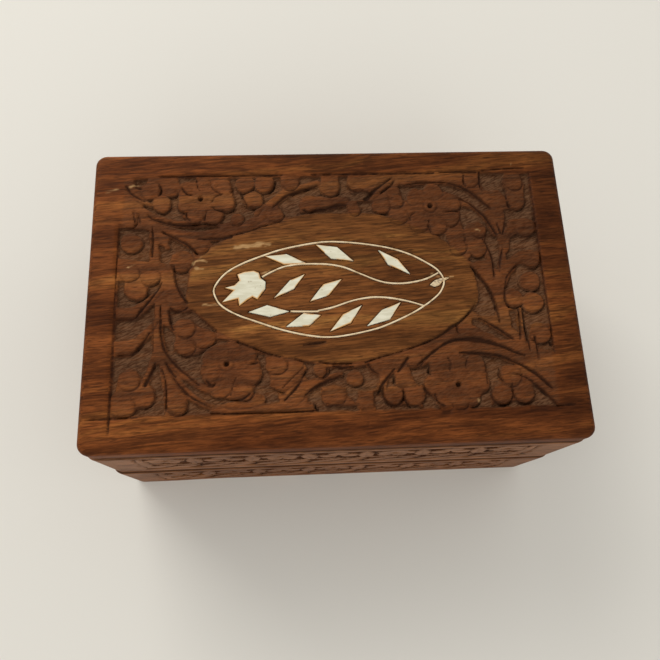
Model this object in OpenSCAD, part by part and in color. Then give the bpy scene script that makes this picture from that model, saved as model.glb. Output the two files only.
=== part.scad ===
// Hand-carved wooden jewelry box with a hinged lid and a bone and wire inlay.
// The box stands on z = 0, its long side runs along X and its back faces +Y.

/* [Box] */
// Outside width, left to right
box_w = 150; // [135:1:180]
// Outside depth, front to back
box_d = 96; // [88:1:120]
// Outside height with the lid closed
box_h = 74; // [66:1:90]
// Height of the split between base and lid
split_z = 33; // [30:1:42]
// Thickness of the walls and rails
wall_t = 9; // [8:0.5:11]
// Radius of the upright corners
corner_r = 3.6;

/* [Lid panel] */
// Thickness of the carved top panel
panel_t = 7.5; // [6:0.5:10]
// Rounding of the panel's top edge
panel_edge_r = 2.5; // [1:0.5:4]
// Plain border around the carved field
border = 9; // [6:0.5:12]
// Depth of the carved ground below the surface
carve_depth = 1.8; // [1:0.1:3]
// Depth of the carving on the walls
wall_carve_depth = 1.4; // [0.8:0.1:2]

/* [Inlay] */
// Depth of the bone pieces
bone_t = 1.4; // [1:0.1:2]
// Width of the inlaid wires
wire_w = 0.8; // [0.6:0.1:1.2]
// Depth of the inlaid wires
wire_t = 0.9; // [0.6:0.1:1.2]

/* [Lining] */
// Thickness of the bottom board
board_t = 4; // [3:0.5:6]
// Thickness of the velvet on its card
lining_t = 1.2; // [0.8:0.1:2]

/* [Hinges] */
// Width of each hinge along the back
hinge_w = 20; // [16:1:26]
// Distance of each hinge's middle from the box's middle
hinge_x = 45; // [35:1:52]
// Radius of the hinge barrel
barrel_r = 1.6; // [1.4:0.1:1.8]
// Radius of the hinge pin
pin_r = 0.6; // [0.5:0.05:0.7]
// Thickness of a hinge leaf
leaf_t = 0.8; // [0.6:0.1:1]
// Opening angle at which the back edges meet
open_angle = 100; // [90:1:110]

/* [Hidden] */
$fn = 48;
axis_in = 2;                       // hinge axis, in from the back face
axis_y = box_d / 2 - axis_in;
gap = 0.3;                         // between lid and base, closed or fully open
base_top = split_z - gap / 2;
lid_low = split_z + gap / 2;
panel_low = box_h - panel_t;
leaf_d = wall_t - axis_in - 0.6;   // reach of a hinge leaf, in from the axis
knuckles = 5;
knuckle_w = hinge_w / knuckles;
knuckle_gap = 0.15;
bore_r = pin_r + 0.05;
pocket_r = barrel_r + 0.3;
bevel = open_angle / 2;
screw_x = hinge_w * 0.3;
screw_y = axis_y - leaf_d * 0.62;
screw_r = 0.9;
screw_head_r = 1.5;
screw_len = 8;
in_w = box_w - 2 * wall_t;         // clear width and depth inside the walls
in_d = box_d - 2 * wall_t;
field_w = box_w - 2 * border;
field_d = box_d - 2 * border;
kx = field_w / 132;                // the carving is drawn for a 132 x 78 field
ky = field_d / 78;
k = min(kx, ky);
e = 0.01;

wood = [0.42, 0.24, 0.14];
carved = [0.38, 0.21, 0.12];
velvet = [0.36, 0.05, 0.08];
bone = [0.90, 0.88, 0.80];
wire = [0.82, 0.74, 0.58];
brass = [0.76, 0.62, 0.32];

// ---- curves --------------------------------------------------------------

// Point on a smooth curve that passes through p1 and p2
function bend(p0, p1, p2, p3, t) =
    0.5 * (2 * p1 + (p2 - p0) * t + (2 * p0 - 5 * p1 + 4 * p2 - p3) * t * t
    + (3 * p1 - p0 - 3 * p2 + p3) * t * t * t);

// Open curve through hand-picked points, with n steps between two of them
function curve(p, n = 3) = let (m = len(p) - 1)
    [for (i = [0 : m - 1], s = [0 : n - 1])
        bend(p[max(i - 1, 0)], p[i], p[i + 1], p[min(i + 2, m)], s / n), p[m]];

// Closed curve through hand-picked points
function loop(p, n = 4) = let (m = len(p))
    [for (i = [0 : m - 1], s = [0 : n - 1])
        bend(p[(i + m - 1) % m], p[i], p[(i + 1) % m], p[(i + 2) % m], s / n)];

// Sideways unit vector at point i of a curve
function side(c, i, closed = false) =
    let (m = len(c), a = closed ? c[(i + m - 1) % m] : c[max(i - 1, 0)],
         b = closed ? c[(i + 1) % m] : c[min(i + 1, m - 1)], d = (b - a) / norm(b - a))
    [-d[1], d[0]];

// Strip along an open curve, w0 wide at its start and w1 wide at its end
module strip(c, w0, w1) {
    m = len(c) - 1;
    polygon(concat(
        [for (i = [0 : m]) c[i] + side(c, i) * (w0 + (w1 - w0) * i / m) / 2],
        [for (i = [m : -1 : 0]) c[i] - side(c, i) * (w0 + (w1 - w0) * i / m) / 2]));
}

// Ring of width w along a closed clockwise curve
module ring(c, w) {
    difference() {
        polygon([for (i = [0 : len(c) - 1]) c[i] + side(c, i, true) * w / 2]);
        polygon([for (i = [0 : len(c) - 1]) c[i] - side(c, i, true) * w / 2]);
    }
}

function at(p) = [p[0] * kx, p[1] * ky];

// ---- carving of the lid --------------------------------------------------

// Carved buds: x, y and radius
BUDS = [
    [-56, 34.5, 2.8], [-50.5, 36, 2.8], [-53.5, 30, 2.8], [-27, 36.5, 3.1], [-21, 36.5, 3.1],
    [-24, 30.5, 3.2], [-12.5, 36, 2.4], [-18, 25, 2.4], [-29.5, 23.5, 2], [-63, 24, 2.6],
    [-62, 16, 3.2], [-46, 11, 3.6], [-40.5, 15, 2.4], [-62, 6.5, 2.7], [-55.5, 6, 2.7],
    [-59.5, 0.5, 3], [-50, 4, 3],
    [-60.5, -27, 3.4], [-56.5, -32, 3.4], [-62, -34.5, 3], [-47, -34.5, 3.4],
    [-44.5, -12, 3], [-39.5, -14.5, 3], [-45, -17, 3.2], [-18.5, -24, 3.2], [-17, -29, 3.2],
    [1.5, 35.5, 2.6], [16.5, 28.5, 3.2], [21, 30.5, 2.8], [21, 24, 2.8], [46.5, 36, 2.8],
    [60, 36.5, 3], [59, 29, 3.2], [61.5, 19.5, 3.2], [62, 9, 2.9], [61.5, 0.8, 3.3],
    [56, -4, 3.2], [61.5, -5.5, 3.2], [44.5, 17.5, 3.2], [39.5, 14.5, 3.2], [45.5, 13.5, 3.2],
    [48, -34, 3.3], [55, -34, 3.3], [51, -29, 3], [16, -34, 3], [22, -34, 3.3],
    [19.5, -29, 2.8], [23.5, -23.5, 2.6], [8, -35.5, 2.5], [-0.5, -32.5, 2.5], [5, -28, 2.5],
    [62, -16, 3]];

// Carved flowers: centre, distance of the petals, petal radius, number, first angle
FLOWERS = [
    [[-40.5, 30.5], 5.6, 3.1, 7, 10], [[-32, -24.5], 5.8, 3.1, 7, 15],
    [[32.5, 26.5], 5.6, 3, 7, 40], [[35, -30], 5.8, 3, 7, 30]];

// Carved stems and leaves: width at the start, width at the end, points on the middle line
STEMS = [
    [1.2, 1.8, [[-64, 36], [-61, 28], [-56, 24], [-50, 22.5], [-40, 22.5]]],
    [2.6, 1.4, [[-58, 23], [-52, 20], [-42, 18], [-32, 19.5], [-20, 27], [-9, 34], [-3, 34.5]]],
    [1.4, 2, [[-55, 21], [-47, 18.5], [-41, 15]]],
    [2, 1, [[-57, 22], [-56, 15], [-57.5, 8]]],
    [1.6, 4.2, [[-54, 19], [-52, 10], [-48.5, -2]]],
    [2.4, 2.4, [[-64, 36], [-57, 34.5]]],
    [1.4, 2, [[-21.5, 25], [-24, 30]]],
    [4, 3.4, [[-9, 29.5], [-1, 30], [7, 29]]],
    [2.2, 1.8, [[-52, -5], [-51.5, -12], [-51, -20]]],
    [1.6, 2.6, [[-54, -4], [-60, -7], [-65, -8]]],
    [1.6, 2.6, [[-53, -9], [-58, -15], [-63.5, -19.5]]],
    [1.8, 1.4, [[-51, -20], [-44.5, -27], [-37, -31], [-30, -35]]],
    [1.8, 1.4, [[-51.5, -23], [-44.5, -33], [-37, -36], [-30, -35]]],
    [1.4, 4, [[-51, -22], [-49, -28], [-47, -33]]],
    [1.9, 1.9, [[-36, -37], [-22, -37], [-8, -36.7]]],
    [1.6, 1.4, [[-17, -34], [-10, -33], [-3, -28.5]]],
    [3.4, 1.2, [[6.5, 36.3], [16, 36.5], [25, 36.6]]],
    [1.8, 1.6, [[21, 36], [33, 35.7], [42, 33], [48, 28], [52, 21], [54, 13]]],
    [1.6, 1.4, [[42, 29.5], [48, 24.5], [51.5, 17.5], [53, 10]]],
    [2, 1.6, [[50.5, 9], [51, 0], [49, -12]]],
    [1, 3, [[43, 7], [47, 2], [49, -4]]],
    [1.8, 1.6, [[54.5, 14], [54, 2], [55, -11], [57, -23]]],
    [1.6, 1.8, [[16, -30], [21.5, -24.5], [29, -19.5], [37, -17], [45, -17.5], [57, -24]]],
    [1.2, 1.8, [[37, -21.5], [44, -21.8], [52, -24.2], [58, -28.7], [64, -38]]]];

// Outline of the plain oval in the middle
MEDALLION = [for (a = [0 : 6 : 354]) at([44.5 * cos(a) - 0.5, 24 * sin(a)])];

module flower(f) {
    translate(at(f[0])) difference() {
        union() {
            circle(f[1] * k);
            for (i = [0 : f[3] - 1]) rotate(f[4] + i * 360 / f[3]) translate([f[1] * k, 0])
                circle(f[2] * k);
        }
        circle(0.7 * k);
    }
}

module lid_motifs() {
    polygon(MEDALLION);
    for (b = BUDS) translate(at(b)) circle(b[2] * k);
    for (f = FLOWERS) flower(f);
    for (s = STEMS) strip(curve([for (p = s[2]) at(p)]), s[0], s[1]);
}

// ---- inlay ---------------------------------------------------------------

OVAL = [[-36.5, 1], [-33, 5.5], [-22, 11.5], [-6, 15.2], [8, 15], [23, 11.2], [32.5, 5.5],
        [33, -1.5], [24.5, -8], [12, -13.2], [-3, -15.3], [-17, -12.6], [-30, -7.5], [-35.5, -3]];
UPPER_STEM = [[-22, 4.5], [-16, 7.5], [-8.5, 8.3], [-1.5, 8], [5, 6], [13, 2.5], [20.5, 1.2],
              [28.5, 2.3], [32, 4.2]];
LOWER_STEM = [[-13, -7], [-6, -7.2], [0, -6], [6, -4], [11.5, -3.1], [17, -3.5], [26, -5.8]];
FLOWER = [[-29.5, 5.5], [-25, 6.5], [-23, 6], [-22.5, 4], [-21, 2.5], [-21, 0.5], [-23.5, -3],
          [-25, -2], [-29, -5], [-29.5, -2.5], [-34, -3.5], [-31, 0.5], [-33.5, 1], [-29, 3.5]];
TIP = [[29.5, 0.5], [31, 1.6], [32, 1.2], [31.6, -0.1], [30.5, -0.3]];

// The nine bone leaves, each from tip to side to tip to side
LEAVES = [
    [[-21, 11.2], [-14.5, 11.8], [-8.6, 9.2], [-15, 8.8]],
    [[-5.5, 14.2], [1, 13.6], [6.3, 9], [-0.7, 10]],
    [[14, 12.5], [20, 9.5], [23.6, 4.2], [17, 7.5]],
    [[-9, 5], [-12.5, 0], [-18.5, -2.6], [-13.5, 3.1]],
    [[2.4, 3.1], [-1.8, -2.1], [-7.6, -4], [-3.3, 1.6]],
    [[-26, -6.9], [-19.8, -8.4], [-14, -7], [-20.6, -4.8]],
    [[-4.4, -8.4], [-8.2, -11.6], [-15, -11.7], [-9.6, -7.8]],
    [[8, -5.6], [4.5, -11.2], [-2, -13.5], [2.2, -8.3]],
    [[20, -5.5], [16.4, -10], [9.3, -12], [14, -7.3]]];

module oval_2d() { ring(loop([for (p = OVAL) at(p)]), wire_w); }

module stem_2d(pts) { strip(curve([for (p = pts) at(p)], 4), wire_w, wire_w); }

module chip_2d(pts) { polygon([for (p = pts) at(p)]); }

// A piece let into the surface of the medallion, t deep
module inlaid(t) { translate([0, 0, box_h - t]) linear_extrude(t) children(); }

module inlay_oval_wire() {
    color(wire) inlaid(wire_t) difference() {
        oval_2d();
        stem_2d(UPPER_STEM);
    }
}

module inlay_upper_stem() { color(wire) inlaid(wire_t) stem_2d(UPPER_STEM); }

module inlay_lower_stem() { color(wire) inlaid(wire_t) stem_2d(LOWER_STEM); }

module inlay_flower() { color(bone) inlaid(bone_t) chip_2d(FLOWER); }

module inlay_tip() { color(bone) inlaid(bone_t) chip_2d(TIP); }

module inlay_leaf(i) { color(bone) inlaid(bone_t) chip_2d(LEAVES[i]); }

module inlay_pockets() {
    translate([0, 0, box_h - wire_t]) linear_extrude(wire_t + 1) {
        oval_2d();
        stem_2d(UPPER_STEM);
        stem_2d(LOWER_STEM);
    }
    translate([0, 0, box_h - bone_t]) linear_extrude(bone_t + 1) {
        chip_2d(FLOWER);
        chip_2d(TIP);
        for (l = LEAVES) chip_2d(l);
    }
}

// ---- wooden shell --------------------------------------------------------

module rounded_2d(w, d, r) {
    union() {
        square([w - 2 * r, d], center = true);
        square([w, d - 2 * r], center = true);
        for (x = [-1, 1], y = [-1, 1]) translate([x * (w / 2 - r), y * (d / 2 - r)]) circle(r);
    }
}

// Side view of a slab whose two top edges are rounded
module crowned_2d(w, h, r) {
    union() {
        translate([-w / 2, 0]) square([w, h - r]);
        translate([-w / 2 + r, 0]) square([w - 2 * r, h]);
        for (x = [-1, 1]) translate([x * (w / 2 - r), h - r]) circle(r);
    }
}

module panel_blank() {
    translate([0, 0, panel_low]) intersection() {
        linear_extrude(panel_t) rounded_2d(box_w, box_d, corner_r);
        rotate([90, 0, 0]) linear_extrude(box_d + 2, center = true)
            crowned_2d(box_w, panel_t, panel_edge_r);
        rotate([90, 0, 90]) linear_extrude(box_w + 2, center = true)
            crowned_2d(box_d, panel_t, panel_edge_r);
    }
}

module lid_panel() {
    color(carved) difference() {
        panel_blank();
        translate([0, 0, box_h - carve_depth]) linear_extrude(carve_depth + 1) difference() {
            square([field_w, field_d], center = true);
            lid_motifs();
        }
        inlay_pockets();
    }
}

// The block of front and back walls between two heights, without the inside
module shell(z0, z1) {
    translate([0, 0, z0]) linear_extrude(z1 - z0) rounded_2d(box_w, box_d, corner_r);
}

// A front (-1) or back (+1) wall over the full width
module long_wall(s, z0, z1) {
    intersection() {
        shell(z0, z1);
        translate([-box_w, s > 0 ? in_d / 2 : -box_d / 2 - 1, z0 - 1])
            cube([2 * box_w, wall_t + 1, z1 - z0 + 2]);
    }
}

// A left (-1) or right (+1) wall between the long ones
module short_wall(s, z0, z1) {
    translate([s > 0 ? in_w / 2 : -box_w / 2, -in_d / 2, z0]) cube([wall_t, in_d, z1 - z0]);
}

// Ground cut around a running vine, drawn w wide and h high about its middle
module vine_ground_2d(w, h) {
    n = 2 * round(w / 34);
    pitch = w / n;
    wave = [for (i = [0 : 6 * n]) [-w / 2 + i * pitch / 6, h * 0.22 * sin(i * 30)]];
    difference() {
        square([w, h], center = true);
        strip(wave, 1.8, 1.8);
        for (i = [0 : n - 1]) {
            s = i % 2 == 0 ? -1 : 1;
            x = -w / 2 + (i + 0.5) * pitch;
            for (d = [-1, 1]) translate([x + d * h * 0.11, s * h * 0.2]) circle(h * 0.13);
            translate([x, s * h * 0.38]) circle(h * 0.13);
            translate([x, -s * h * 0.02]) strip([[0, -s * 2], [0, s * h * 0.2]], 1.4, 1.4);
        }
    }
}

// Carving of one outside face between two heights: turn 0 is the front
module face_carving(turn, width, dist, z0, z1) {
    rotate([0, 0, turn]) translate([0, -dist + wall_carve_depth, (z0 + z1) / 2])
        rotate([90, 0, 0]) linear_extrude(wall_carve_depth + 1)
            vine_ground_2d(width - 16, z1 - z0 - 8);
}

module front_carving(z0, z1) { face_carving(0, box_w, box_d / 2, z0, z1); }

module side_carving(s, z0, z1) {
    face_carving(s * 90, box_d - 6, box_w / 2, z0, z1);
}

// ---- hinges --------------------------------------------------------------

module at_hinge(s) { translate([s * hinge_x, axis_y, split_z]) children(); }

module bar_x(x0, x1, r) { translate([x0, 0, 0]) rotate([0, 90, 0]) cylinder(h = x1 - x0, r = r); }

// Everything cut from the back edges for one hinge, on the base (-1) or lid (+1) side
module hinge_pocket(s, side) {
    at_hinge(s) {
        bar_x(-hinge_w / 2 - 1, hinge_w / 2 + 1, pocket_r);
        translate([-hinge_w / 2 - 0.1, -leaf_d - 0.1, side < 0 ? -gap / 2 - leaf_t : -1])
            cube([hinge_w + 0.2, leaf_d + 0.1, side < 0 ? 2 : 1 + gap / 2 + leaf_t]);
        for (x = [-screw_x, screw_x]) translate([x, screw_y - axis_y, 0])
            mirror([0, 0, side < 0 ? 1 : 0]) cylinder(h = screw_len + 1, r = screw_r + 0.02);
    }
}

// Wedge cut from the back edge so that the lid stops at its opening angle
module back_bevel(side) {
    translate([-box_w, axis_y, split_z + side * gap / 2]) mirror([0, 0, side > 0 ? 1 : 0])
        rotate([90, 0, 90]) linear_extrude(2 * box_w) polygon([
            [0, 0], [axis_in + 1, -(axis_in + 1) * tan(bevel)], [axis_in + 1, 2], [0, 2]]);
}

module knuckle(i) {
    x0 = -hinge_w / 2 + i * knuckle_w;
    bar_x(x0 + (i > 0 ? knuckle_gap : 0), x0 + knuckle_w - (i < knuckles - 1 ? knuckle_gap : 0),
          barrel_r);
}

// One leaf: the base (-1) carries the even knuckles, the lid (+1) the odd ones
module hinge_leaf(s, side) {
    first = side < 0 ? 0 : 1;
    z0 = side < 0 ? -gap / 2 - leaf_t : gap / 2;
    at_hinge(s) difference() {
        union() {
            translate([-hinge_w / 2, -leaf_d, z0])
                cube([hinge_w, leaf_d - barrel_r - 0.25, leaf_t]);
            for (i = [first : 2 : knuckles - 1]) {
                knuckle(i);
                translate([-hinge_w / 2 + i * knuckle_w + (i > 0 ? knuckle_gap : 0), -leaf_d, z0])
                    cube([knuckle_w - (i > 0 && i < knuckles - 1 ? 2 : 1) * knuckle_gap, leaf_d,
                          leaf_t]);
            }
        }
        bar_x(-hinge_w, hinge_w, bore_r);
        for (x = [-screw_x, screw_x]) translate([x, screw_y - axis_y, 0])
            mirror([0, 0, side < 0 ? 1 : 0]) screw_hole();
    }
}

// Countersunk hole through a leaf, from the meeting faces into the wood
module screw_hole() {
    translate([0, 0, gap / 2 - e])
        cylinder(h = leaf_t * 0.75 + e, r1 = screw_head_r + 0.02, r2 = screw_r + 0.02);
    cylinder(h = leaf_t + 1, r = screw_r + 0.02);
}

// Countersunk wood screw, its head at the meeting faces
module screw() {
    difference() {
        union() {
            translate([0, 0, gap / 2])
                cylinder(h = leaf_t * 0.75, r1 = screw_head_r, r2 = screw_r);
            translate([0, 0, gap / 2 + 0.1]) cylinder(h = screw_len - 1.5, r = screw_r);
            translate([0, 0, gap / 2 + screw_len - 1.4])
                cylinder(h = 1.4, r1 = screw_r, r2 = 0.1);
        }
        translate([-screw_head_r, -0.2, gap / 2 - 1]) cube([2 * screw_head_r, 0.4, 1.4]);
    }
}

module hinge_screws(side) {
    color(brass) for (s = [-1, 1]) at_hinge(s) for (x = [-screw_x, screw_x])
        translate([x, screw_y - axis_y, 0]) mirror([0, 0, side < 0 ? 1 : 0]) screw();
}

module hinge_pin(s) {
    color(brass) at_hinge(s) {
        bar_x(-hinge_w / 2 - 0.3, hinge_w / 2 + 0.3, pin_r);
        for (x = [-hinge_w / 2 - 0.5, hinge_w / 2]) bar_x(x, x + 0.5, pin_r + 0.35);
    }
}

module hinge_base_leaf_left() { color(brass) hinge_leaf(-1, -1); }
module hinge_base_leaf_right() { color(brass) hinge_leaf(1, -1); }
module hinge_lid_leaf_left() { color(brass) hinge_leaf(-1, 1); }
module hinge_lid_leaf_right() { color(brass) hinge_leaf(1, 1); }

// ---- base ----------------------------------------------------------------

module base_front() {
    color(carved) difference() {
        long_wall(-1, 0, base_top);
        front_carving(0, base_top);
    }
}

module base_back() {
    color(wood) difference() {
        long_wall(1, 0, base_top);
        back_bevel(-1);
        for (s = [-1, 1]) hinge_pocket(s, -1);
    }
}

module base_side(s) {
    color(carved) difference() {
        short_wall(s, 0, base_top);
        side_carving(s, 0, base_top);
    }
}

module base_bottom() {
    color(wood) translate([-in_w / 2, -in_d / 2, 0]) cube([in_w, in_d, board_t]);
}

// ---- lid -----------------------------------------------------------------

module lid_rail_front() {
    color(carved) difference() {
        long_wall(-1, lid_low, panel_low);
        front_carving(lid_low, panel_low);
    }
}

module lid_rail_back() {
    color(wood) difference() {
        long_wall(1, lid_low, panel_low);
        back_bevel(1);
        for (s = [-1, 1]) hinge_pocket(s, 1);
    }
}

module lid_rail_side(s) {
    color(carved) difference() {
        short_wall(s, lid_low, panel_low);
        side_carving(s, lid_low, panel_low);
    }
}

// ---- linings -------------------------------------------------------------

// Flat lining across the inside, resting on height z
module lining_flat(z) {
    color(velvet) translate([-in_w / 2, -in_d / 2, z]) cube([in_w, in_d, lining_t]);
}

// Lining of a front (-1) or back (+1) wall
module lining_long(s, z0, z1) {
    color(velvet) translate([-in_w / 2, s > 0 ? in_d / 2 - lining_t : -in_d / 2, z0])
        cube([in_w, lining_t, z1 - z0]);
}

// Lining of a left (-1) or right (+1) wall, between the long linings
module lining_short(s, z0, z1) {
    color(velvet) translate([s > 0 ? in_w / 2 - lining_t : -in_w / 2, -in_d / 2 + lining_t, z0])
        cube([lining_t, in_d - 2 * lining_t, z1 - z0]);
}

lining_rim = 1.5;                  // bare wood above the wall linings
base_z0 = board_t + lining_t;
base_z1 = base_top - lining_rim;
lid_z0 = lid_low + lining_rim;
lid_z1 = panel_low - lining_t;

base_front();
base_back();
base_side(-1);  // base_left
base_side(1);  // base_right
base_bottom();
lining_flat(board_t);  // base_lining_floor
lining_long(-1, base_z0, base_z1);  // base_lining_front
lining_long(1, base_z0, base_z1);  // base_lining_back
lining_short(-1, base_z0, base_z1);  // base_lining_left
lining_short(1, base_z0, base_z1);  // base_lining_right
hinge_base_leaf_left();
hinge_base_leaf_right();
hinge_screws(-1);  // hinge_base_screws
hinge_pin(-1);  // hinge_pin_left
hinge_pin(1);  // hinge_pin_right
hinge_lid_leaf_left();
hinge_lid_leaf_right();
hinge_screws(1);  // hinge_lid_screws
lid_panel();
lid_rail_front();
lid_rail_back();
lid_rail_side(-1);  // lid_rail_left
lid_rail_side(1);  // lid_rail_right
lining_flat(panel_low - lining_t);  // lid_lining_top
lining_long(-1, lid_z0, lid_z1);  // lid_lining_front
lining_long(1, lid_z0, lid_z1);  // lid_lining_back
lining_short(-1, lid_z0, lid_z1);  // lid_lining_left
lining_short(1, lid_z0, lid_z1);  // lid_lining_right
inlay_oval_wire();
inlay_upper_stem();
inlay_lower_stem();
inlay_flower();
inlay_tip();
for (i = [0 : 8]) inlay_leaf(i);
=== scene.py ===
"""Looks of a hand-carved wooden jewelry box with a bone and wire inlay.

Tables of the carving are in millimetres in the row frame, seen from above. Meshes are in metres.
"""
import math

import bpy
import numpy as np
from mathutils import Matrix, Vector


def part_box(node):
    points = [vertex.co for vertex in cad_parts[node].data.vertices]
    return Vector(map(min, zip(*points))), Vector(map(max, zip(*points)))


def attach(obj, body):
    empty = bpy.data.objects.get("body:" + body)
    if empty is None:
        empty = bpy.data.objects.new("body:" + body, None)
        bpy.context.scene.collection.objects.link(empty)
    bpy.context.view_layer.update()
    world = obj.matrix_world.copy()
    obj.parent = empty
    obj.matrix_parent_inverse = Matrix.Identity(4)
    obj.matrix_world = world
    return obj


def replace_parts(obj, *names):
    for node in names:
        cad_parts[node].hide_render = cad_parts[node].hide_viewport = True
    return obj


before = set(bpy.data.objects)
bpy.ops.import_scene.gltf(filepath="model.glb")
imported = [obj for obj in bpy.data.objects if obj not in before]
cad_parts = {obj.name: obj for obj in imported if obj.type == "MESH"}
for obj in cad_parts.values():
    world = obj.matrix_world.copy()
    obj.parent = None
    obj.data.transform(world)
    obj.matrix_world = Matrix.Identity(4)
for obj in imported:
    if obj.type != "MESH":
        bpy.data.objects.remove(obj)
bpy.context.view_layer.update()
MM = 0.001


def box_mm(node):
    """Lowest and highest corner of a CAD node, in millimetres"""
    low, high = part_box(node)
    return np.array(low) / MM, np.array(high) / MM


def rows(*flat, n=2):
    """A run of numbers as rows of n: x, y and perhaps a width or a radius"""
    return np.array(flat, float).reshape(-1, n)


# ---- sizes, some read from the CAD parts ---------------------------------

PANEL_LOW, PANEL_HIGH = box_mm("lid_panel")
HALF_W, HALF_D, TOP = PANEL_HIGH
PANEL_T = TOP - PANEL_LOW[2]
WALL_T = box_mm("base_front")[1][1] - box_mm("base_front")[0][1]
CORNER_R = 3.6
EDGE_R = 2.2            # rounding of the panel's top edge
FIELD = (-66.0, 65.4, -38.0, 39.4)  # carved field: left, right, front, back
GROUND = 1.05           # depth of the carved ground
GRID = 0.37             # spacing of the carved surface's points
WALL_GRID = 0.5         # the same two for the walls
WALL_GROUND = 0.8
WALL_FRAME = 4.4        # plain border over and under a wall's carving
MOTIF_H = 25.4          # height of field that the walls' motifs are drawn for
RAIL_OUT = (0.6, 0.4)   # how far the lid's front rail stands out, at its foot and at its top
BASE_OUT = (1.05, 0.3)  # the same for the base's front, and how much more at its left end
SEAT = 0.5              # how deep the filler round an inlaid piece goes
BONE_OUT = 0.06         # how far the bone stands out of the wood
BONE_BEVEL = 0.14
STAIN = 0.55            # how far in from its edge the bone is stained
WIRE_W = 0.5
PILE = 0.24             # room left for the velvet's pile

# ---- the carving of the lid ----------------------------------------------

# Outline of the plain oval in the middle
MEDALLION = rows(-45, -2, -44, 4, -43, 8, -38.5, 14, -31, 18, -20.5, 22, -8, 25.2, 6, 25.5, 16,
    24.5, 25, 21, 33, 17, 38, 13, 42.5, 7.5, 44, 2, 44, -5, 39, -10.5, 32.6, -15.3, 24, -18.7, 13,
    -22, 4, -23.4, -5.7, -23, -12, -22, -20, -20, -26, -17.2, -34.7, -13, -41.3, -6.8, -44.3, -4.7)

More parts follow.
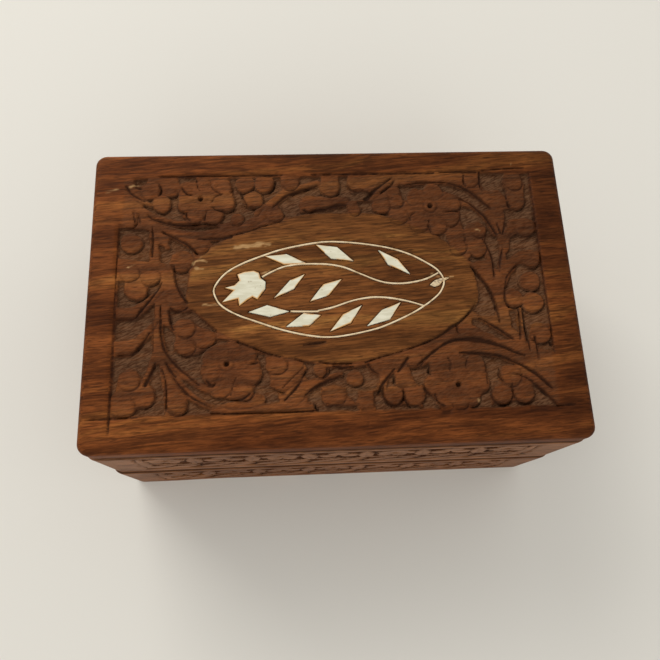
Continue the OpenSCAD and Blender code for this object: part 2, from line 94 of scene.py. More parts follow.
# Patches between the motifs where the wood is cut down to the ground
GROUNDS = [rows(*run) for run in (
    (-62, 38.6, -58, 38.8, -58.6, 37.4, -60.2, 36.4, -61.8, 36.6),
    (-48.6, 39.2, -42.6, 39.2, -42.8, 38, -46, 37.6, -47.4, 36),
    (-58.8, 30.2, -57, 31.6, -49.6, 33.6, -47.2, 36.4, -46.8, 32.6, -48.2, 29.6, -47.2, 26, -44,
     23.4, -36, 23.2, -36, 22.6, -45, 22.6, -50, 23.6, -55, 25.4, -59, 28.4),
    (-32.4, 38.9, -16, 38.6, -15.4, 34.6, -18.6, 31.6, -21.4, 28.6, -23.4, 24.4, -27, 22.9, -31.6,
     23.4, -35, 22.6, -33.8, 26.6, -30.6, 28.6, -31, 33),
    (-54.4, 23.4, -49, 22, -44, 21.6, -38, 21.8, -35, 21.3, -40, 20.4, -46, 20.2, -51, 21.4),
    (-38.6, 17, -32, 17.3, -33, 15.4, -36.4, 14.6),
    (-66, 21.6, -61.4, 21.4, -58.6, 21, -56.8, 20.4, -56.4, 16, -56.4, 10.4, -60, 10.6, -66, 12),
    (-53.6, 15.6, -51.2, 15, -50.2, 18, -47.6, 17.4, -44.6, 15, -43.2, 12.6, -45, 12.8, -49.4, 12.4,
     -50.6, 9, -53, 10),
    (-10.2, 35.4, -9.4, 38.8, -2.6, 38.8, -2.8, 36.8, -5.6, 36.2),
    (-16.6, 25, -16.8, 30, -12, 33.2, -7, 34.6, -3.2, 35.4, -3, 31.6, -8, 31.8, -10.4, 29, -9.4,
     25.8, -12, 24.2),
    (-4, 31.8, -2.6, 33, 2.8, 32.6, 3, 38.7, 6, 38.8, 5.4, 35, 7.4, 32.8, 11, 33.2, 13.6, 32.6,
     11.4, 30.2, 5, 29.9, 0, 31),
    (-10.6, 26, -8, 26.2, -1.4, 27, 5, 28.2, 5.6, 26.4, 5.2, 25.4, -5, 25, -11, 24.2),
    (8.4, 29.6, 13.4, 29.2, 13, 26.6, 13.6, 25.6, 18.6, 25.4, 18, 23.9, 13, 24.5, 9, 25.2, 8.8,
     27.4),
    (22.4, 35.2, 23.2, 30.2, 25.6, 29.4, 27.8, 33, 33, 34.2, 38.6, 32.4, 42, 30.6, 45.4, 28.6, 48.6,
     25.2, 51.2, 26.4, 47.6, 29.8, 43.6, 33, 38, 35.2, 30, 35.2, 26, 34.9),
    (41, 27.8, 44.8, 26.6, 47.4, 24.2, 49.6, 20.8, 50.8, 17.6, 49, 16.8, 49.2, 19.6, 47, 22, 43.6,
     21, 42.2, 19.4, 41.4, 22, 41.6, 25),
    (49, 17, 52.4, 16.2, 53, 13, 52.2, 9, 51.4, 5.4, 50.2, 6, 50.1, 10, 49.2, 13, 48.4, 15.4),
    (49.2, 38.8, 57.2, 38.8, 56.4, 35.4, 57.4, 32.8, 56.6, 30.4, 55, 33, 52.4, 32.6, 50, 33.2, 49.2,
     35.4),
    (62.4, 38.6, 65.2, 38.8, 65.3, 21.6, 62.6, 22.6, 57.2, 22.4, 55.4, 18.4, 54.9, 21, 55.6, 25.8,
     58, 26.4, 60, 25.4, 63, 28.6, 63.6, 35),
    (56, 12.2, 56.4, 15.8, 59, 17, 62, 15.9, 65.3, 18, 65.3, 11, 61, 11.6, 57.6, 10.4, 54.8, 8.6,
     54.6, 10.4),
    (55.4, 3.4, 58.6, 7, 62, 5.6, 65.3, 7, 65.3, -13, 59, -13.4, 58.8, -17.6, 57, -19, 56.4, -9, 53,
     -7, 53, -1),
    (60.6, -18, 65.3, -17.6, 65.3, -21.8, 61, -20.6),
    (43.2, 6, 45.8, 2.4, 48, -1.6, 49.3, -7, 49.4, -10, 44.4, -10.2, 41.6, -8, 44, -4, 44.4, 1),
    (42.2, 8.6, 43.8, 10.6, 47.8, 10.4, 48.2, 8.6, 44, 7.8),
    (33.2, 17.6, 36.2, 17.4, 37.2, 14.6, 36, 13.6),
    (53.4, -8.6, 55.4, -8.6, 55.3, -15, 53.6, -13.6),
    (41.8, -10.8, 44, -11.4, 48, -14.4, 52.2, -17.6, 50, -17.4, 45, -15, 41.4, -12.4),
    (36.6, -22, 42, -22.2, 49, -23.6, 53.6, -25.8, 49, -26, 47.6, -29, 48.6, -31.6, 45.2, -33.4,
     44.8, -38.1, 38.8, -38.1, 41.6, -35, 44.8, -31, 44, -25, 40, -23.2),
    (44.6, -38.1, 45.6, -36.6, 51, -36.8, 57.6, -34, 57.4, -31.2, 59.4, -33, 62, -35.6, 63.8,
     -38.1),
    (21.4, -25.8, 24.6, -25.6, 27, -24.4, 27.4, -27.6, 24.8, -30.4, 23.4, -31, 21.6, -27.8),
    (24.6, -33, 26, -33.8, 28.4, -35.4, 30, -37.9, 24.4, -37.9),
    (10.2, -32.6, 12.8, -31.4, 13, -35, 15.6, -37, 19, -36.4, 22.4, -37, 24.8, -37.9, 10.4, -37.9),
    (14.2, -31.8, 14.6, -28.8, 16.6, -26.6, 17, -29.6, 16.4, -31),
    (-10, -22.6, -3, -24.6, 4, -25.2, 8.4, -24.2, 9.6, -26.2, 12, -28.2, 11, -31.6, 6, -32.2, 4.8,
     -35.6, 2.4, -33.6, 2, -31, -1, -30, -5, -30.6, -5.2, -34, -3.8, -36.4, 5.2, -36.4, 5.6, -37.9,
     -6.4, -37.7, -9, -34.6, -9.4, -31.8, -4, -28.8, 1, -27.2, -3.4, -27, -9, -28.4, -10.4, -26.4),
    (-24.2, -19.8, -21.4, -20.4, -20.8, -24.6, -19.8, -27.4, -20.2, -30, -17.8, -31.8, -17.4, -34.6,
     -21.4, -35.2, -22.6, -32.2, -25.4, -31.8, -22.8, -27, -22.8, -22.8),
    (-65.6, 4, -63.6, 4, -63.4, 0, -60, -2.6, -56.8, -.6, -56.2, 2.6, -53.2, 4.6, -52.8, 1.8, -55.2,
     -1.6, -58.6, -4.2, -65.6, -4.4),
    (-48.9, 8, -46.6, 7, -44.3, 7.8, -44.7, 1, -45.3, -2.2, -46.6, .6, -48.1, 4),
    (-65.7, -8.4, -60, -8.4, -56.6, -5.6, -54.4, -3.4, -54.1, -8, -55.2, -10.6, -58, -13.6, -62,
     -14.8, -65.7, -14.8),
    (-54.7, -13, -54.5, -19, -55.4, -22, -57, -27.4, -58.6, -24.4, -61, -23.4, -63.6, -25, -64.6,
     -30, -65.7, -31.4, -65.7, -19.6, -61, -19.6, -58, -16.8),
    (-53.8, -22.8, -52.4, -22.4, -50.8, -27, -50.4, -37.3, -60, -37.4, -58.6, -35.4, -57, -34.8,
     -53.4, -33, -53.3, -30, -55, -28),
    (-51.6, -10, -50, -11.2, -48, -13.4, -48, -18, -45, -20.2, -41, -19.6, -38.4, -17.8, -36.3, -15,
     -34, -15.2, -30, -16.2, -28.8, -17, -33.4, -16.8, -35, -19, -39.6, -20.6, -40.2, -25, -38.4,
     -28.4, -41, -28, -46.2, -23.6, -49.6, -19.4, -51.1, -15.4),
    (-49.6, -6, -46, -6.4, -43.2, -5.8, -40.4, -8.4, -36.4, -11.8, -34.8, -13.6, -37.6, -12.6, -41,
     -10.8, -43, -9, -46.6, -8.4, -48.6, -10.4, -49.5, -9),
    (-47.8, -25.8, -44, -27.8, -40.6, -30.4, -37, -32, -33, -33.2, -27, -34, -31, -34.4, -36, -34.9,
     -41, -33.2, -45, -29.8),
    (-43.9, -33, -41, -34.8, -37.4, -36.2, -37, -37.3, -46, -37.4, -43.8, -35.6),
)]

# Stems and leaves: points on the middle line as x, y, width
STEMS = [rows(*run, n=3) for run in (
    (-64, 35.4, 1, -60.3, 31.6, 1.3, -56.7, 29.6, 1),
    (-62, 30, 2.4, -60, 28, 2.4, -55.5, 25.3, 2.2, -50, 23.6, 1.6, -44.8, 23.1, 1.2, -40, 23.6, .8),
    (-54, 22, 2, -50, 20.5, 2, -45, 19.4, 2, -40, 19.2, 2.2, -35, 19.7, 2.4, -31, 20.4, 2.6, -26,
     22.4, 2.6, -21.4, 25.6, 2.6, -18, 29.6, 2.2, -13, 33.6, 2, -9, 35.2, 1.8, -4, 36.6, 1.6),
    (-52.4, 21, 1.4, -49, 19.2, 2.6, -45, 17.2, 3.8, -41.4, 15.4, 4.6),
    (-54, 20.6, 1.4, -52.6, 17.6, 1.7, -51, 14.9, 1.4),
    (-52.6, 8, 2.6, -50.6, 3, 4.2, -48.4, -1.4, 5, -47.6, -3.2, 4.6),
    (-21.6, 28.8, 1.2, -23.7, 25.9, 1.3),
    (-7, 29.2, 5.6, -1.6, 29.6, 3.6, 5, 30.4, 2),
    (8.6, 36.5, 5.6, 13, 37.4, 4.6, 19.4, 38.4, 1.6),
    (20.3, 37.2, 1.1, 17, 34.2, 1.5, 14, 31.5, 1.3),
    (53.4, 16, 2, 54.6, 19, 1.6, 55.2, 24, 1.4),
    (53.5, 15, 2, 56.6, 18.4, 2, 60, 20.4, 3),
    (61, 9.6, 2.6, 57.4, 7.8, 1.7, 54.8, 4.6, 1.7, 52.6, 0, 1.7),
    (56.8, -8, .7, 56.8, -14, .7, 57, -20, .7),
    (-52.5, 1, 1.2, -57, -3.4, 2.2, -61, -6, 3, -65.6, -6.4, 3.4),
    (-54, -9.4, 1.2, -57.5, -13.8, 2.4, -61, -16.8, 3, -65.6, -17.6, 3.2),
    (-50, -21, 1.1, -44.7, -26.4, 1.2, -41, -29.4, 1.1, -37.6, -30.6, 1),
    (-48, -25.4, 1.6, -45, -29.6, 1.7, -41.5, -33, 1.7, -37, -35.4, 1.6),
    (-51.3, -23.6, 1.6, -49.4, -28.6, 3.6, -47.4, -33.4, 5.6),
    (-36.4, -36.3, 1.8, -24, -36.4, 2.2, -8.6, -36.2, 2.2),
    (-32, -35, 1.6, -27, -34.6, 2.4, -22.8, -33.6, 2.6),
    (-10, -24.6, 1.4, -13.4, -27, 4, -17, -29, 5),
    (-12.9, -35, 1.4, -7.4, -30, 1.8, -3.6, -28.2, 1.8, .7, -26.7, 1.4),
    (49.8, -22.4, 1.4, 54, -24, 2, 58, -26, 2.2),
)]

# Incised edges and knife cuts, painted dark with shade: points as x, y, width
CUTS = [rows(*run, n=3) for run in (
    (-54, 39.5, .3, -50, 39.6, .6, -20, 39.5, .6, -15, 39.5, .2), (-6, 39.5, .2, 0, 39.5, .5, 34,
    39.4, .5), (36, 39.6, .3, 40, 39.7, .7, 48, 39.6, .7), (50, 40, .3, 58, 40.7, .5, 64, 40.8, .2),
    (-66.3, 22, .2, -66.2, 8, .3, -66.1, 1, .4, -66, -20, .5, -66, -37.8, .6, -66, -42.6, .3), (-72,
    -38, .3, -66, -37.9, .4, -58, -37.7, .4), (-37, -37.4, .4, -26, -37.6, .6, -8, -37.5, .6, -7,
    -36.6, .5, -7.3, -35.4, .3), (56, -38.7, .3, 66, -38.3, .4, 69, -38.2, .3), (65.4, 38, .2, 65.4,
    10, .3, 65.5, -22, .25), (-57.5, 26, .3, -55.5, 24.6, .6, -50, 22.9, .8, -44.8, 22.4, .9, -40,
    22.7, .7, -35, 22.2, .3), (-52.6, 20.2, .3, -49, 18.1, .7, -45.6, 16.1, .6, -43.5, 14.3, .8,
    -42, 12.6, .6), (-42, 17.6, .3, -39, 17.5, .6, -34, 17.7, .9, -31.6, 18.1, 1.2), (-31, 18.6, .4,
    -27, 19.6, .5, -22, 21.4, .4, -16, 23, .3), (-18.5, 28, .3, -17, 29.6, .7, -14, 32.2, .8, -10,
    33.9, .9, -6.5, 34.9, .8, -4, 35.7, .4), (-8.6, 27, .5, -7, 26.2, .5, -4.6, 27, .6, -1, 27.5,
    .9, 2, 28.3, 1.1, 4.9, 28.6, .5), (5.4, 35.6, .4, 7, 33.8, .7, 8.6, 33.4, .6, 10.6, 33.6, .4),
    (19.8, 37.8, .3, 17, 35.6, .7, 14.4, 33.6, 1.1, 11.4, 30.4, 1.5), (20.6, 36.8, .2, 20, 35.4, .6,
    17.4, 33.4, .8, 16.2, 32.4, .4), (22, 34.8, .3, 26, 35.6, .4, 30, 36, .5, 37.5, 35.9, .5, 41.7,
    34.6, .6, 45, 32.7, .7, 47.9, 30, .8, 51.3, 26.6, .5), (41.6, 29.9, .4, 44.2, 28.6, .7, 46.7,
    26.2, .7, 49.2, 23.4, .8, 50.6, 20.6, .7, 52.3, 17, .6), (54.2, 17.2, .5, 55.2, 20, .4, 56, 24,
    .3), (53.6, 17.6, .6, 52.8, 21, .3), (49, 39.4, .6, 49, 37.4, .7, 48.8, 34.6, .5, 49.4, 32.8,
    .3), (43.8, 38.6, .3, 43.6, 36, .4, 44, 34.6, .3), (57.2, 28.4, .5, 57.5, 27, 1.1), (47.7, 15.6,
    .3, 49.2, 12.6, .7, 50, 8, .6, 49.9, 3, .5), (42.8, 6.4, .5, 45.6, 2.6, .8, 48, -1.6, .8, 49.4,
    -7, .7, 49.9, -12, .4), (53.6, 12, .4, 52.4, 8, .5, 51.9, 4.6, .3), (52.9, -1.6, .3, 53.6, 2,
    .5, 55.4, 4.6, .5, 57.6, 6.6, .4), (52.6, -2, .4, 52.4, -5, .6, 53.4, -7.2, .7), (-56, 22, .2,
    -55.6, 18, .6, -55.6, 12, .6), (-60.5, 26.4, .4, -59.7, 23.4, .3), (-62, 27, .3, -61.2, 23, .3),
    (-49, 8.4, .5, -48, 2.8, .6, -46.3, -.9, .6, -44.6, -3.4, .5), (-49.6, -5, .4, -48, -6, .6, -46,
    -5.8, .6, -44.6, -4.8, .5), (-52.4, 3.4, .3, -54, .4, .5, -56, -2.6, .6, -58.6, -5.8, .7, -60,
    -7.8, .6, -62, -8.2, .4, -65.6, -8, .3), (-55.6, -12.6, .4, -57.4, -15.6, .6, -59.6, -18.2, .7,
    -61, -19.2, .5, -64.6, -19.2, .4), (-52.6, -4, .3, -52.4, -8, .5, -52.3, -12, .6, -51.6, -16,
    .7, -50.4, -19, .7, -47.6, -22.6, .6, -44.6, -25.4, .5, -40.6, -28.8, .4), (-54.6, -8, .2,
    -54.5, -14, .3, -54.3, -18, .2), (-50, -5.6, .5, -49.7, -8, .6, -49, -11, .7, -48.4, -11.8, .4),
    (-53.4, -21.6, .3, -54.6, -25, .8, -56.2, -28.4, 1.1), (-51.6, -23.6, .2, -50.4, -27, .4, -50,
    -31, .5, -49.9, -36, .4), (-50.4, -22, .4, -48.6, -25, .7, -47.4, -26.2, .5), (-48, -26.6, .3,
    -45, -30.4, .6, -43, -32.2, .5, -40, -34, .4, -37, -35.6, .3), (-29.6, -16, .6, -26, -17.6, .5,
    -23, -18.9, .6, -20.2, -20.1, .5, -17, -21, .2), (-12.4, -21.8, .5, -10.4, -22.6, .5), (-5.6,
    -22.8, .3, -2, -23.5, .5, 4, -23.7, .6), (-1.4, -24.3, .5, 1.4, -24.8, .7, 4.6, -24.7, .4),
    (8.2, -23.5, .5, 12, -22.2, .4, 19.6, -20.2, .3), (9, -24, .8, 10.2, -26, .6, 12, -27.2, .3),
    (-9.6, -25.6, .4, -11, -28.4, .5, -12.4, -30.4, .8, -14.4, -32.6, .7, -16, -34.2, .4), (-19,
    -30.6, .4, -17, -31.8, .5, -15.6, -32, .3), (-10.4, -24.6, .15, -14, -28, .25, -16.4, -30.4,
    .15), (-3.4, -24.9, .4, -3.4, -26.4, .6, -4.4, -27.6, .6), (-10, -33, .4, -8.4, -31.4, .6, -6,
    -29.9, .8, -3, -28.6, .8, .6, -27.4, .4), (16.8, -25.6, .3, 14.2, -28.6, .7, 12.4, -31, .8,
    11.4, -33, .4), (21, -22.4, .8, 19.4, -24.6, .8, 17.8, -26.6, .5), (16.4, -28.4, .5, 16.3,
    -29.8, .7), (23.6, -24.8, .3, 26.2, -22.9, .8, 29.4, -20.4, .7, 33, -18.2, .9, 37, -17.3, 1.1,
    42, -17.4, 1.6, 46, -18.4, 1.3, 50.4, -20, .9, 53.3, -21.6, .8, 56.2, -22.8, .4), (36.6, -21.3,
    .5, 40, -21.6, .9, 45, -22, .8, 49, -22.8, .8, 53.3, -24.8, .7, 57, -27, .9, 60.4, -29.8, 1, 62,
    -31.6, .8, 63.3, -33, .4), (51, -28.2, .2, 54, -28.6, .3, 57, -30.4, .4, 59.4, -32.8, .8, 62,
    -35.4, .7, 64.4, -38.4, .4), (43.6, -10.6, .4, 46, -12, .5, 50, -14.8, .7, 53.4, -17.6, .4),
    (36.7, -12.6, .6, 36.6, -14.6, .4, 37.2, -15.4, .3), (21, -19.8, .3, 26, -18.2, .4, 32, -15.4,
    .5, 35, -13.2, 1, 38, -11.4, .6, 41.4, -8.2, .7, 43, -6, .4), (56.2, -8, .4, 56, -14, .5, 55.6,
    -17.6, .4), (57.6, -8, .3, 57.6, -14, .5, 58, -18, .5, 58.2, -21.4, .3), (60.1, -17, .7, 60.3,
    -19, .5, 60.5, -24, .3), (58.4, -18, .3, 60, -18.2, .4), (27.2, -24.6, .3, 26.9, -27, .5, 27.4,
    -27.8, .4), (48.2, -26.4, .3, 47.8, -28.6, .6, 48.8, -30.4, .4), (64.8, -19, .8, 65.2, -19.6,
    .9), (-64.6, 36.4, .5, -62.6, 33.4, .5, -58.6, 31, .3), (-10, -17.6, .5, -6, -17.2, .9, -3.4,
    -16.8, .4), (-62, 36, .3, -60.2, 35.4, .7), (0, -42, .2, 5, -42.2, .8, 8, -41.8, .3), (45.3,
    -32.4, .2, 44.9, -34.6, .5, 45.9, -36.6, .7, 48, -37.6, .8, 50, -37, .6, 51.2, -35.2, .5),
    (51.4, -31.2, .2, 51.3, -33.4, .4, 52, -35.8, .5, 53.8, -37.3, .7, 56, -37, .5, 57.6, -35.4,
    .3), (12.9, -31.4, .3, 13, -34, .6, 14.6, -36.2, .7, 17, -36.4, .6, 18.8, -34.6, .7, 18.8, -32,
    .4), (19, -35, .7, 20, -36.6, .6, 20.8, -37.4, .3), (-54.3, 36.6, .2, -53.6, 34.8, .7, -54.3,
    33, .3), (-63.6, 21.8, .2, -61.6, 22, .4, -60.6, 23.4, .3), (56.8, 33.6, .2, 56.9, 31.4, .3, 57,
    29.6, .3), (-17.6, 37.6, .5, -18, 35.2, .6, -19.4, 33.4, .5), (-28.6, 33.8, .2, -27.6, 31, .4,
    -26.4, 28.8, .4), (65.4, 39.4, .2, 65.3, 24, .25, 65.4, 10, .35, 65.5, 2, .25), (-37.4, 28.7,
    .3, -36.4, 27.6, .5, -34, 27, .6), (-37.6, 30.4, .15, -36.6, 32.2, .3, -34.6, 33.1, .3), (-38.3,
    36.9, .2, -37.2, 34.8, .3, -35.2, 33.4, .3), (-39.9, 24.2, .6, -39.6, 25.6, .35, -39, 27.6,
    .15), (-45.6, 26.6, .3, -45.3, 25, .5, -44.2, 23.8, .4), (-48.4, 30, .2, -48.1, 27.8, .35,
    -46.2, 26.6, .4), (-47.2, 35.6, .3, -45.6, 33.4, .5, -43.4, 32.8, .2), (-42.6, 38.6, .2, -42.2,
    35.8, .25, -41.4, 34.4, .1), (24.9, -30.6, .4, 25.6, -32.6, .7, 26.6, -33.6, .5), (28.2, -33.8,
    .5, 28.8, -36, .6, 30.6, -37.4, .5), (33.2, -26.6, .15, 33.6, -24.4, .25, 33, -22.8, .3), (38.4,
    -27.4, .15, 38.2, -25, .25, 38.8, -23, .2), (44, -26.8, .2, 44.2, -28.8, .35, 44, -31, .2),
    (-38.6, -27.4, .3, -37, -29.2, .6, -36, -28.6, .2), (-31.4, -33.6, .3, -28.2, -33.4, .6, -26,
    -31.8, .5), (-30, -27, .15, -31, -29.8, .25, -31.4, -32, .3), (-27, -22.6, .1, -24.6, -22.9, .3,
    -23.8, -22.6, .5), (27.2, 25.4, .2, 25.6, 24.6, .4, 25, 22.8, .4), (31.2, 22.6, .15, 30.8, 20.4,
    .35, 31.4, 18.6, .5), (36, 25.4, .15, 39, 25.6, .3, 41, 25.4, .35),
)]

# Pale raw wood where the finish is chipped: both ends and the width
SCUFFS = rows(
    -30, 14.2, -22.5, 15, 1.2, -23.4, 15.8, -19.6, 15.2, .9, -43, 9.4, -40.6, 11.4, .5, -40.8, 10.4,
    -38.8, 9.8, .5, -42.6, 7.8, -40, 7.4, .35, -40, -4.4, -35.6, -4, .4, -63.6, 36, -61, 36.8, .4,
    -70.4, 34.6, -67, 35.2, .15, -62.6, 8.6, -60.6, 9.4, .4, 40.8, -36, 41.6, -36, .4, 60, 42.4,
    60.2, 40, .15, 32.6, 2.4, 36.6, 3, .5, 30.4, 4, 33.4, 2.8, .4, -22, 5.6, -19.8, 6.2, .2, 45.8,
    19, 46.8, 18.6, .25, n=5)

# Round buds: x, y, radius, in the order in which they lie on each other
BUDS = rows(
    -56.7, 34.6, 3, -50.8, 35.9, 3.3, -53.3, 30, 2.9, -24.6, 30.9, 3, -27.1, 36.5, 2.9, -21, 36.6,
    3.1, -29.6, 24.1, 2, -17.8, 25.7, 2.6, -12.5, 36.6, 2.4, 0, 34.9, 3.2, 7.7, 26.6, 1.8, -63.5,
    24.8, 2.9, -62.1, 16.6, 3.2, -46.5, 10.3, 3.4, -40.9, 15.2, 2.5, -62.2, 6.6, 2.7, -55.9, 5.3,
    2.7, -59.9, .8, 3.1, -60.7, -26.8, 3, -56.5, -31.8, 3.2, -62.2, -34.6, 3.2, -46.9, -34.2, 3.1,
    -45, -16.8, 3, -39.3, -14.7, 3, -45.1, -11.3, 2.9, -18.2, -23.3, 3, -5, -25.4, 2.2, 4.8, -28.2,
    2.4, 20.3, 32.6, 2.2, 20.9, 29.5, 2.4, 21.5, 24.1, 2.8, 16.1, 28.3, 2.9, 59.8, 36.2, 3.2, 60,
    29, 3, 61.7, 19.4, 3, 62.5, 8.7, 2.9, 61, 1, 3.2, 55, -4.4, 3.1, 61, -6, 3.3, 39, 16.2, 3, 46.7,
    18.7, 2.4, 45.8, 12.6, 2.9, 22.9, -23.4, 2.2, 16.1, -33.7, 2.9, 22.2, -33.6, 3.1, 51.3, -28.8,
    3.1, 48.1, -34.4, 3.2, 54.7, -34.4, 3.1, 61.9, -15.9, 3.2, 39.6, 13, 2.6, n=3)

# Flat leaves with corners
LEAVES = [rows(*run) for run in (
    (-4.6, -31.4, -.6, -30.6, 1.2, -31.6, 2, -33.6, 1, -35.4, -2.4, -35.8, -3.8, -35.2),
    (5.6, -33.6, 8.6, -32.4, 10, -33, 9.8, -37, 6.4, -37.5, 5.6, -36),
    (17, -29.6, 17.6, -27.2, 20.4, -26.8, 21.6, -29, 22.4, -31, 17.4, -31),
    (43.9, 39.3, 43.7, 36, 44.8, 34.4, 47, 34.4, 48.6, 36, 48.8, 39.3),
)]

# Flowers: x, y, how deep the hub's ring is cut, then the petals as x, y, radius
FLOWERS = (
    (-41.2, 31.5, .3, (-45.9, 34.9, 2.6, -40.5, 37.2, 2.3, -45.9, 28.8, 2.3, -34.2, 35.2, 2.8, -43,
     25.8, 2.8, -37.1, 25.6, 3, -33.5, 30.2, 3.2)),
    (-32.8, -22.7, .6, (-37.2, -21.3, 2.6, -31.3, -18.8, 2.8, -26.8, -20, 3, -37.2, -26.3, 2.6,
     -25.4, -26.1, 3, -34.7, -30, 2.9, -28, -31, 3)),
    (31.9, 27.7, 1, (27.6, 30.7, 3, 33.2, 32.4, 3, 38.4, 28, 3.2, 28, 21.5, 3, 37.9, 23.4, 3, 33.5,
     20.5, 3)),
    (35.4, -31, .15, (30.4, -25.5, 3, 36, -25, 2.8, 40.8, -25.3, 3.2, 28.3, -30.9, 3.2, 42.2, -30.9,
     2.6, 31.1, -35.8, 2.8, 39, -35.5, 2.3, 35.4, -36, 2.4)),
)

# ---- the inlay -----------------------------------------------------------

OVAL = rows(-36.6, 1, -33.4, 5.6, -28.3, 8.8, -21.8, 11.4, -15.4, 13.5, -6, 15.3, 0, 15.7, 8, 15,
    16.7, 13.4, 23, 11.3, 28, 8.6, 32.3, 5.4, 34, 1.8, 32.7, -1.7, 29.6, -4.6, 24.5, -7.9, 18.2,
    -10.9, 12, -13.2, 3, -15, -3.2, -15.4, -10, -14.4, -17, -12.5, -24, -9.9, -29.5, -7.7, -33.8,
    -5.1, -35.8, -2.6)
UPPER_STEM = rows(-22, 4.4, -19.3, 5.9, -15.6, 7.5, -12, 8.2, -8.5, 8.4, -1.7, 8.1, 3.2, 7, 7.8,
    4.9, 13, 2.5, 16.5, 1.5, 20.6, 1.2, 24.6, 1.6, 28.7, 2.6, 32.4, 4.4)
LOWER_STEM = rows(-13.6, -7, -5.9, -7.2, -4.9, -6.9, -.7, -6, 5.5, -4, 11.5, -3.1, 17, -3.5, 22.5,
    -4.7, 27, -6.2)
BONE_FLOWER = rows(-29.6, 5.4, -27.4, 6.2, -24.6, 6.5, -23, 5.8, -22.5, 4, -21, 2.8, -21.1, .5,
    -22.2, -1, -23.5, -2.9, -25, -2, -26.6, -3, -29, -4.9, -29.4, -2.5, -34.2, -3.6, -30.8, .2,
    -33.4, 1.1, -30.4, 1.9, -28.9, 3.4)
BONE_TIP = rows(29.5, .5, 30.9, -.2, 32.5, .3, 33.4, 1.4, 35.6, 2.5, 35.5, 2.9, 33, 2.6, 31, 1.9)
BONE_LEAVES = [rows(*run) for run in (
    (-21.1, 11.2, -14.4, 11.8, -8.5, 8.7, -15.3, 8.3),
    (-5.3, 14.8, 1.4, 13.8, 6.3, 9, -.7, 10),
    (14.2, 12.5, 20.2, 9.3, 23.6, 4.2, 17, 7.5),
    (-8.9, 5, -12.4, .2, -18.5, -2.6, -13.5, 3.1),
    (2.4, 3.1, -1.8, -2.1, -7.6, -4, -3.3, 1.6),
    (-26.2, -6.9, -19.8, -8.6, -14, -7, -20.6, -4.8),
    (-4.4, -8.4, -8.2, -11.8, -15.1, -11.9, -9.6, -7.6),
    (8.1, -5.6, 4.5, -11.2, -1.9, -13.7, 2.2, -8.3),
    (20.1, -4.9, 16.4, -10.4, 9.3, -12.3, 14.1, -7.3),
)]

# ---- curves and noise ----------------------------------------------------


def smooth_curve(points, steps, closed=False):
    """Points on a smooth curve through the given ones, which may carry a width"""
    p = np.array(points, float)
    n = len(p)
    out = []
    for i in range(n if closed else n - 1):
        ids = [i - 1, i, i + 1, i + 2]
        a, b, c, d = (p[j % n] if closed else p[min(max(j, 0), n - 1)] for j in ids)
        for t in (k / steps for k in range(steps)):
            out.append(0.5 * (2 * b + (c - a) * t + (2 * a - 5 * b + 4 * c - d) * t * t
                              + (3 * b - a - 3 * c + d) * t ** 3))
    if not closed:
        out.append(p[-1])
    return np.array(out)


def noise(x, y, seed):
    """Smooth noise from -1 to 1 with one cell per unit"""
    table = np.random.RandomState(seed).rand(256, 256) * 2 - 1
    xi, yi = np.floor(x).astype(int), np.floor(y).astype(int)
    fx, fy = x - xi, y - yi
    fx, fy = fx * fx * (3 - 2 * fx), fy * fy * (3 - 2 * fy)
    near, far, near2, far2 = (table[(xi + i) & 255, (yi + j) & 255]
                              for j in (0, 1) for i in (0, 1))
    return (near * (1 - fx) + far * fx) * (1 - fy) + (near2 * (1 - fx) + far2 * fx) * fy


def step(t):
    t = np.clip(t, 0, 1)
    return t * t * (3 - 2 * t)


# ---- the carver's work ---------------------------------------------------


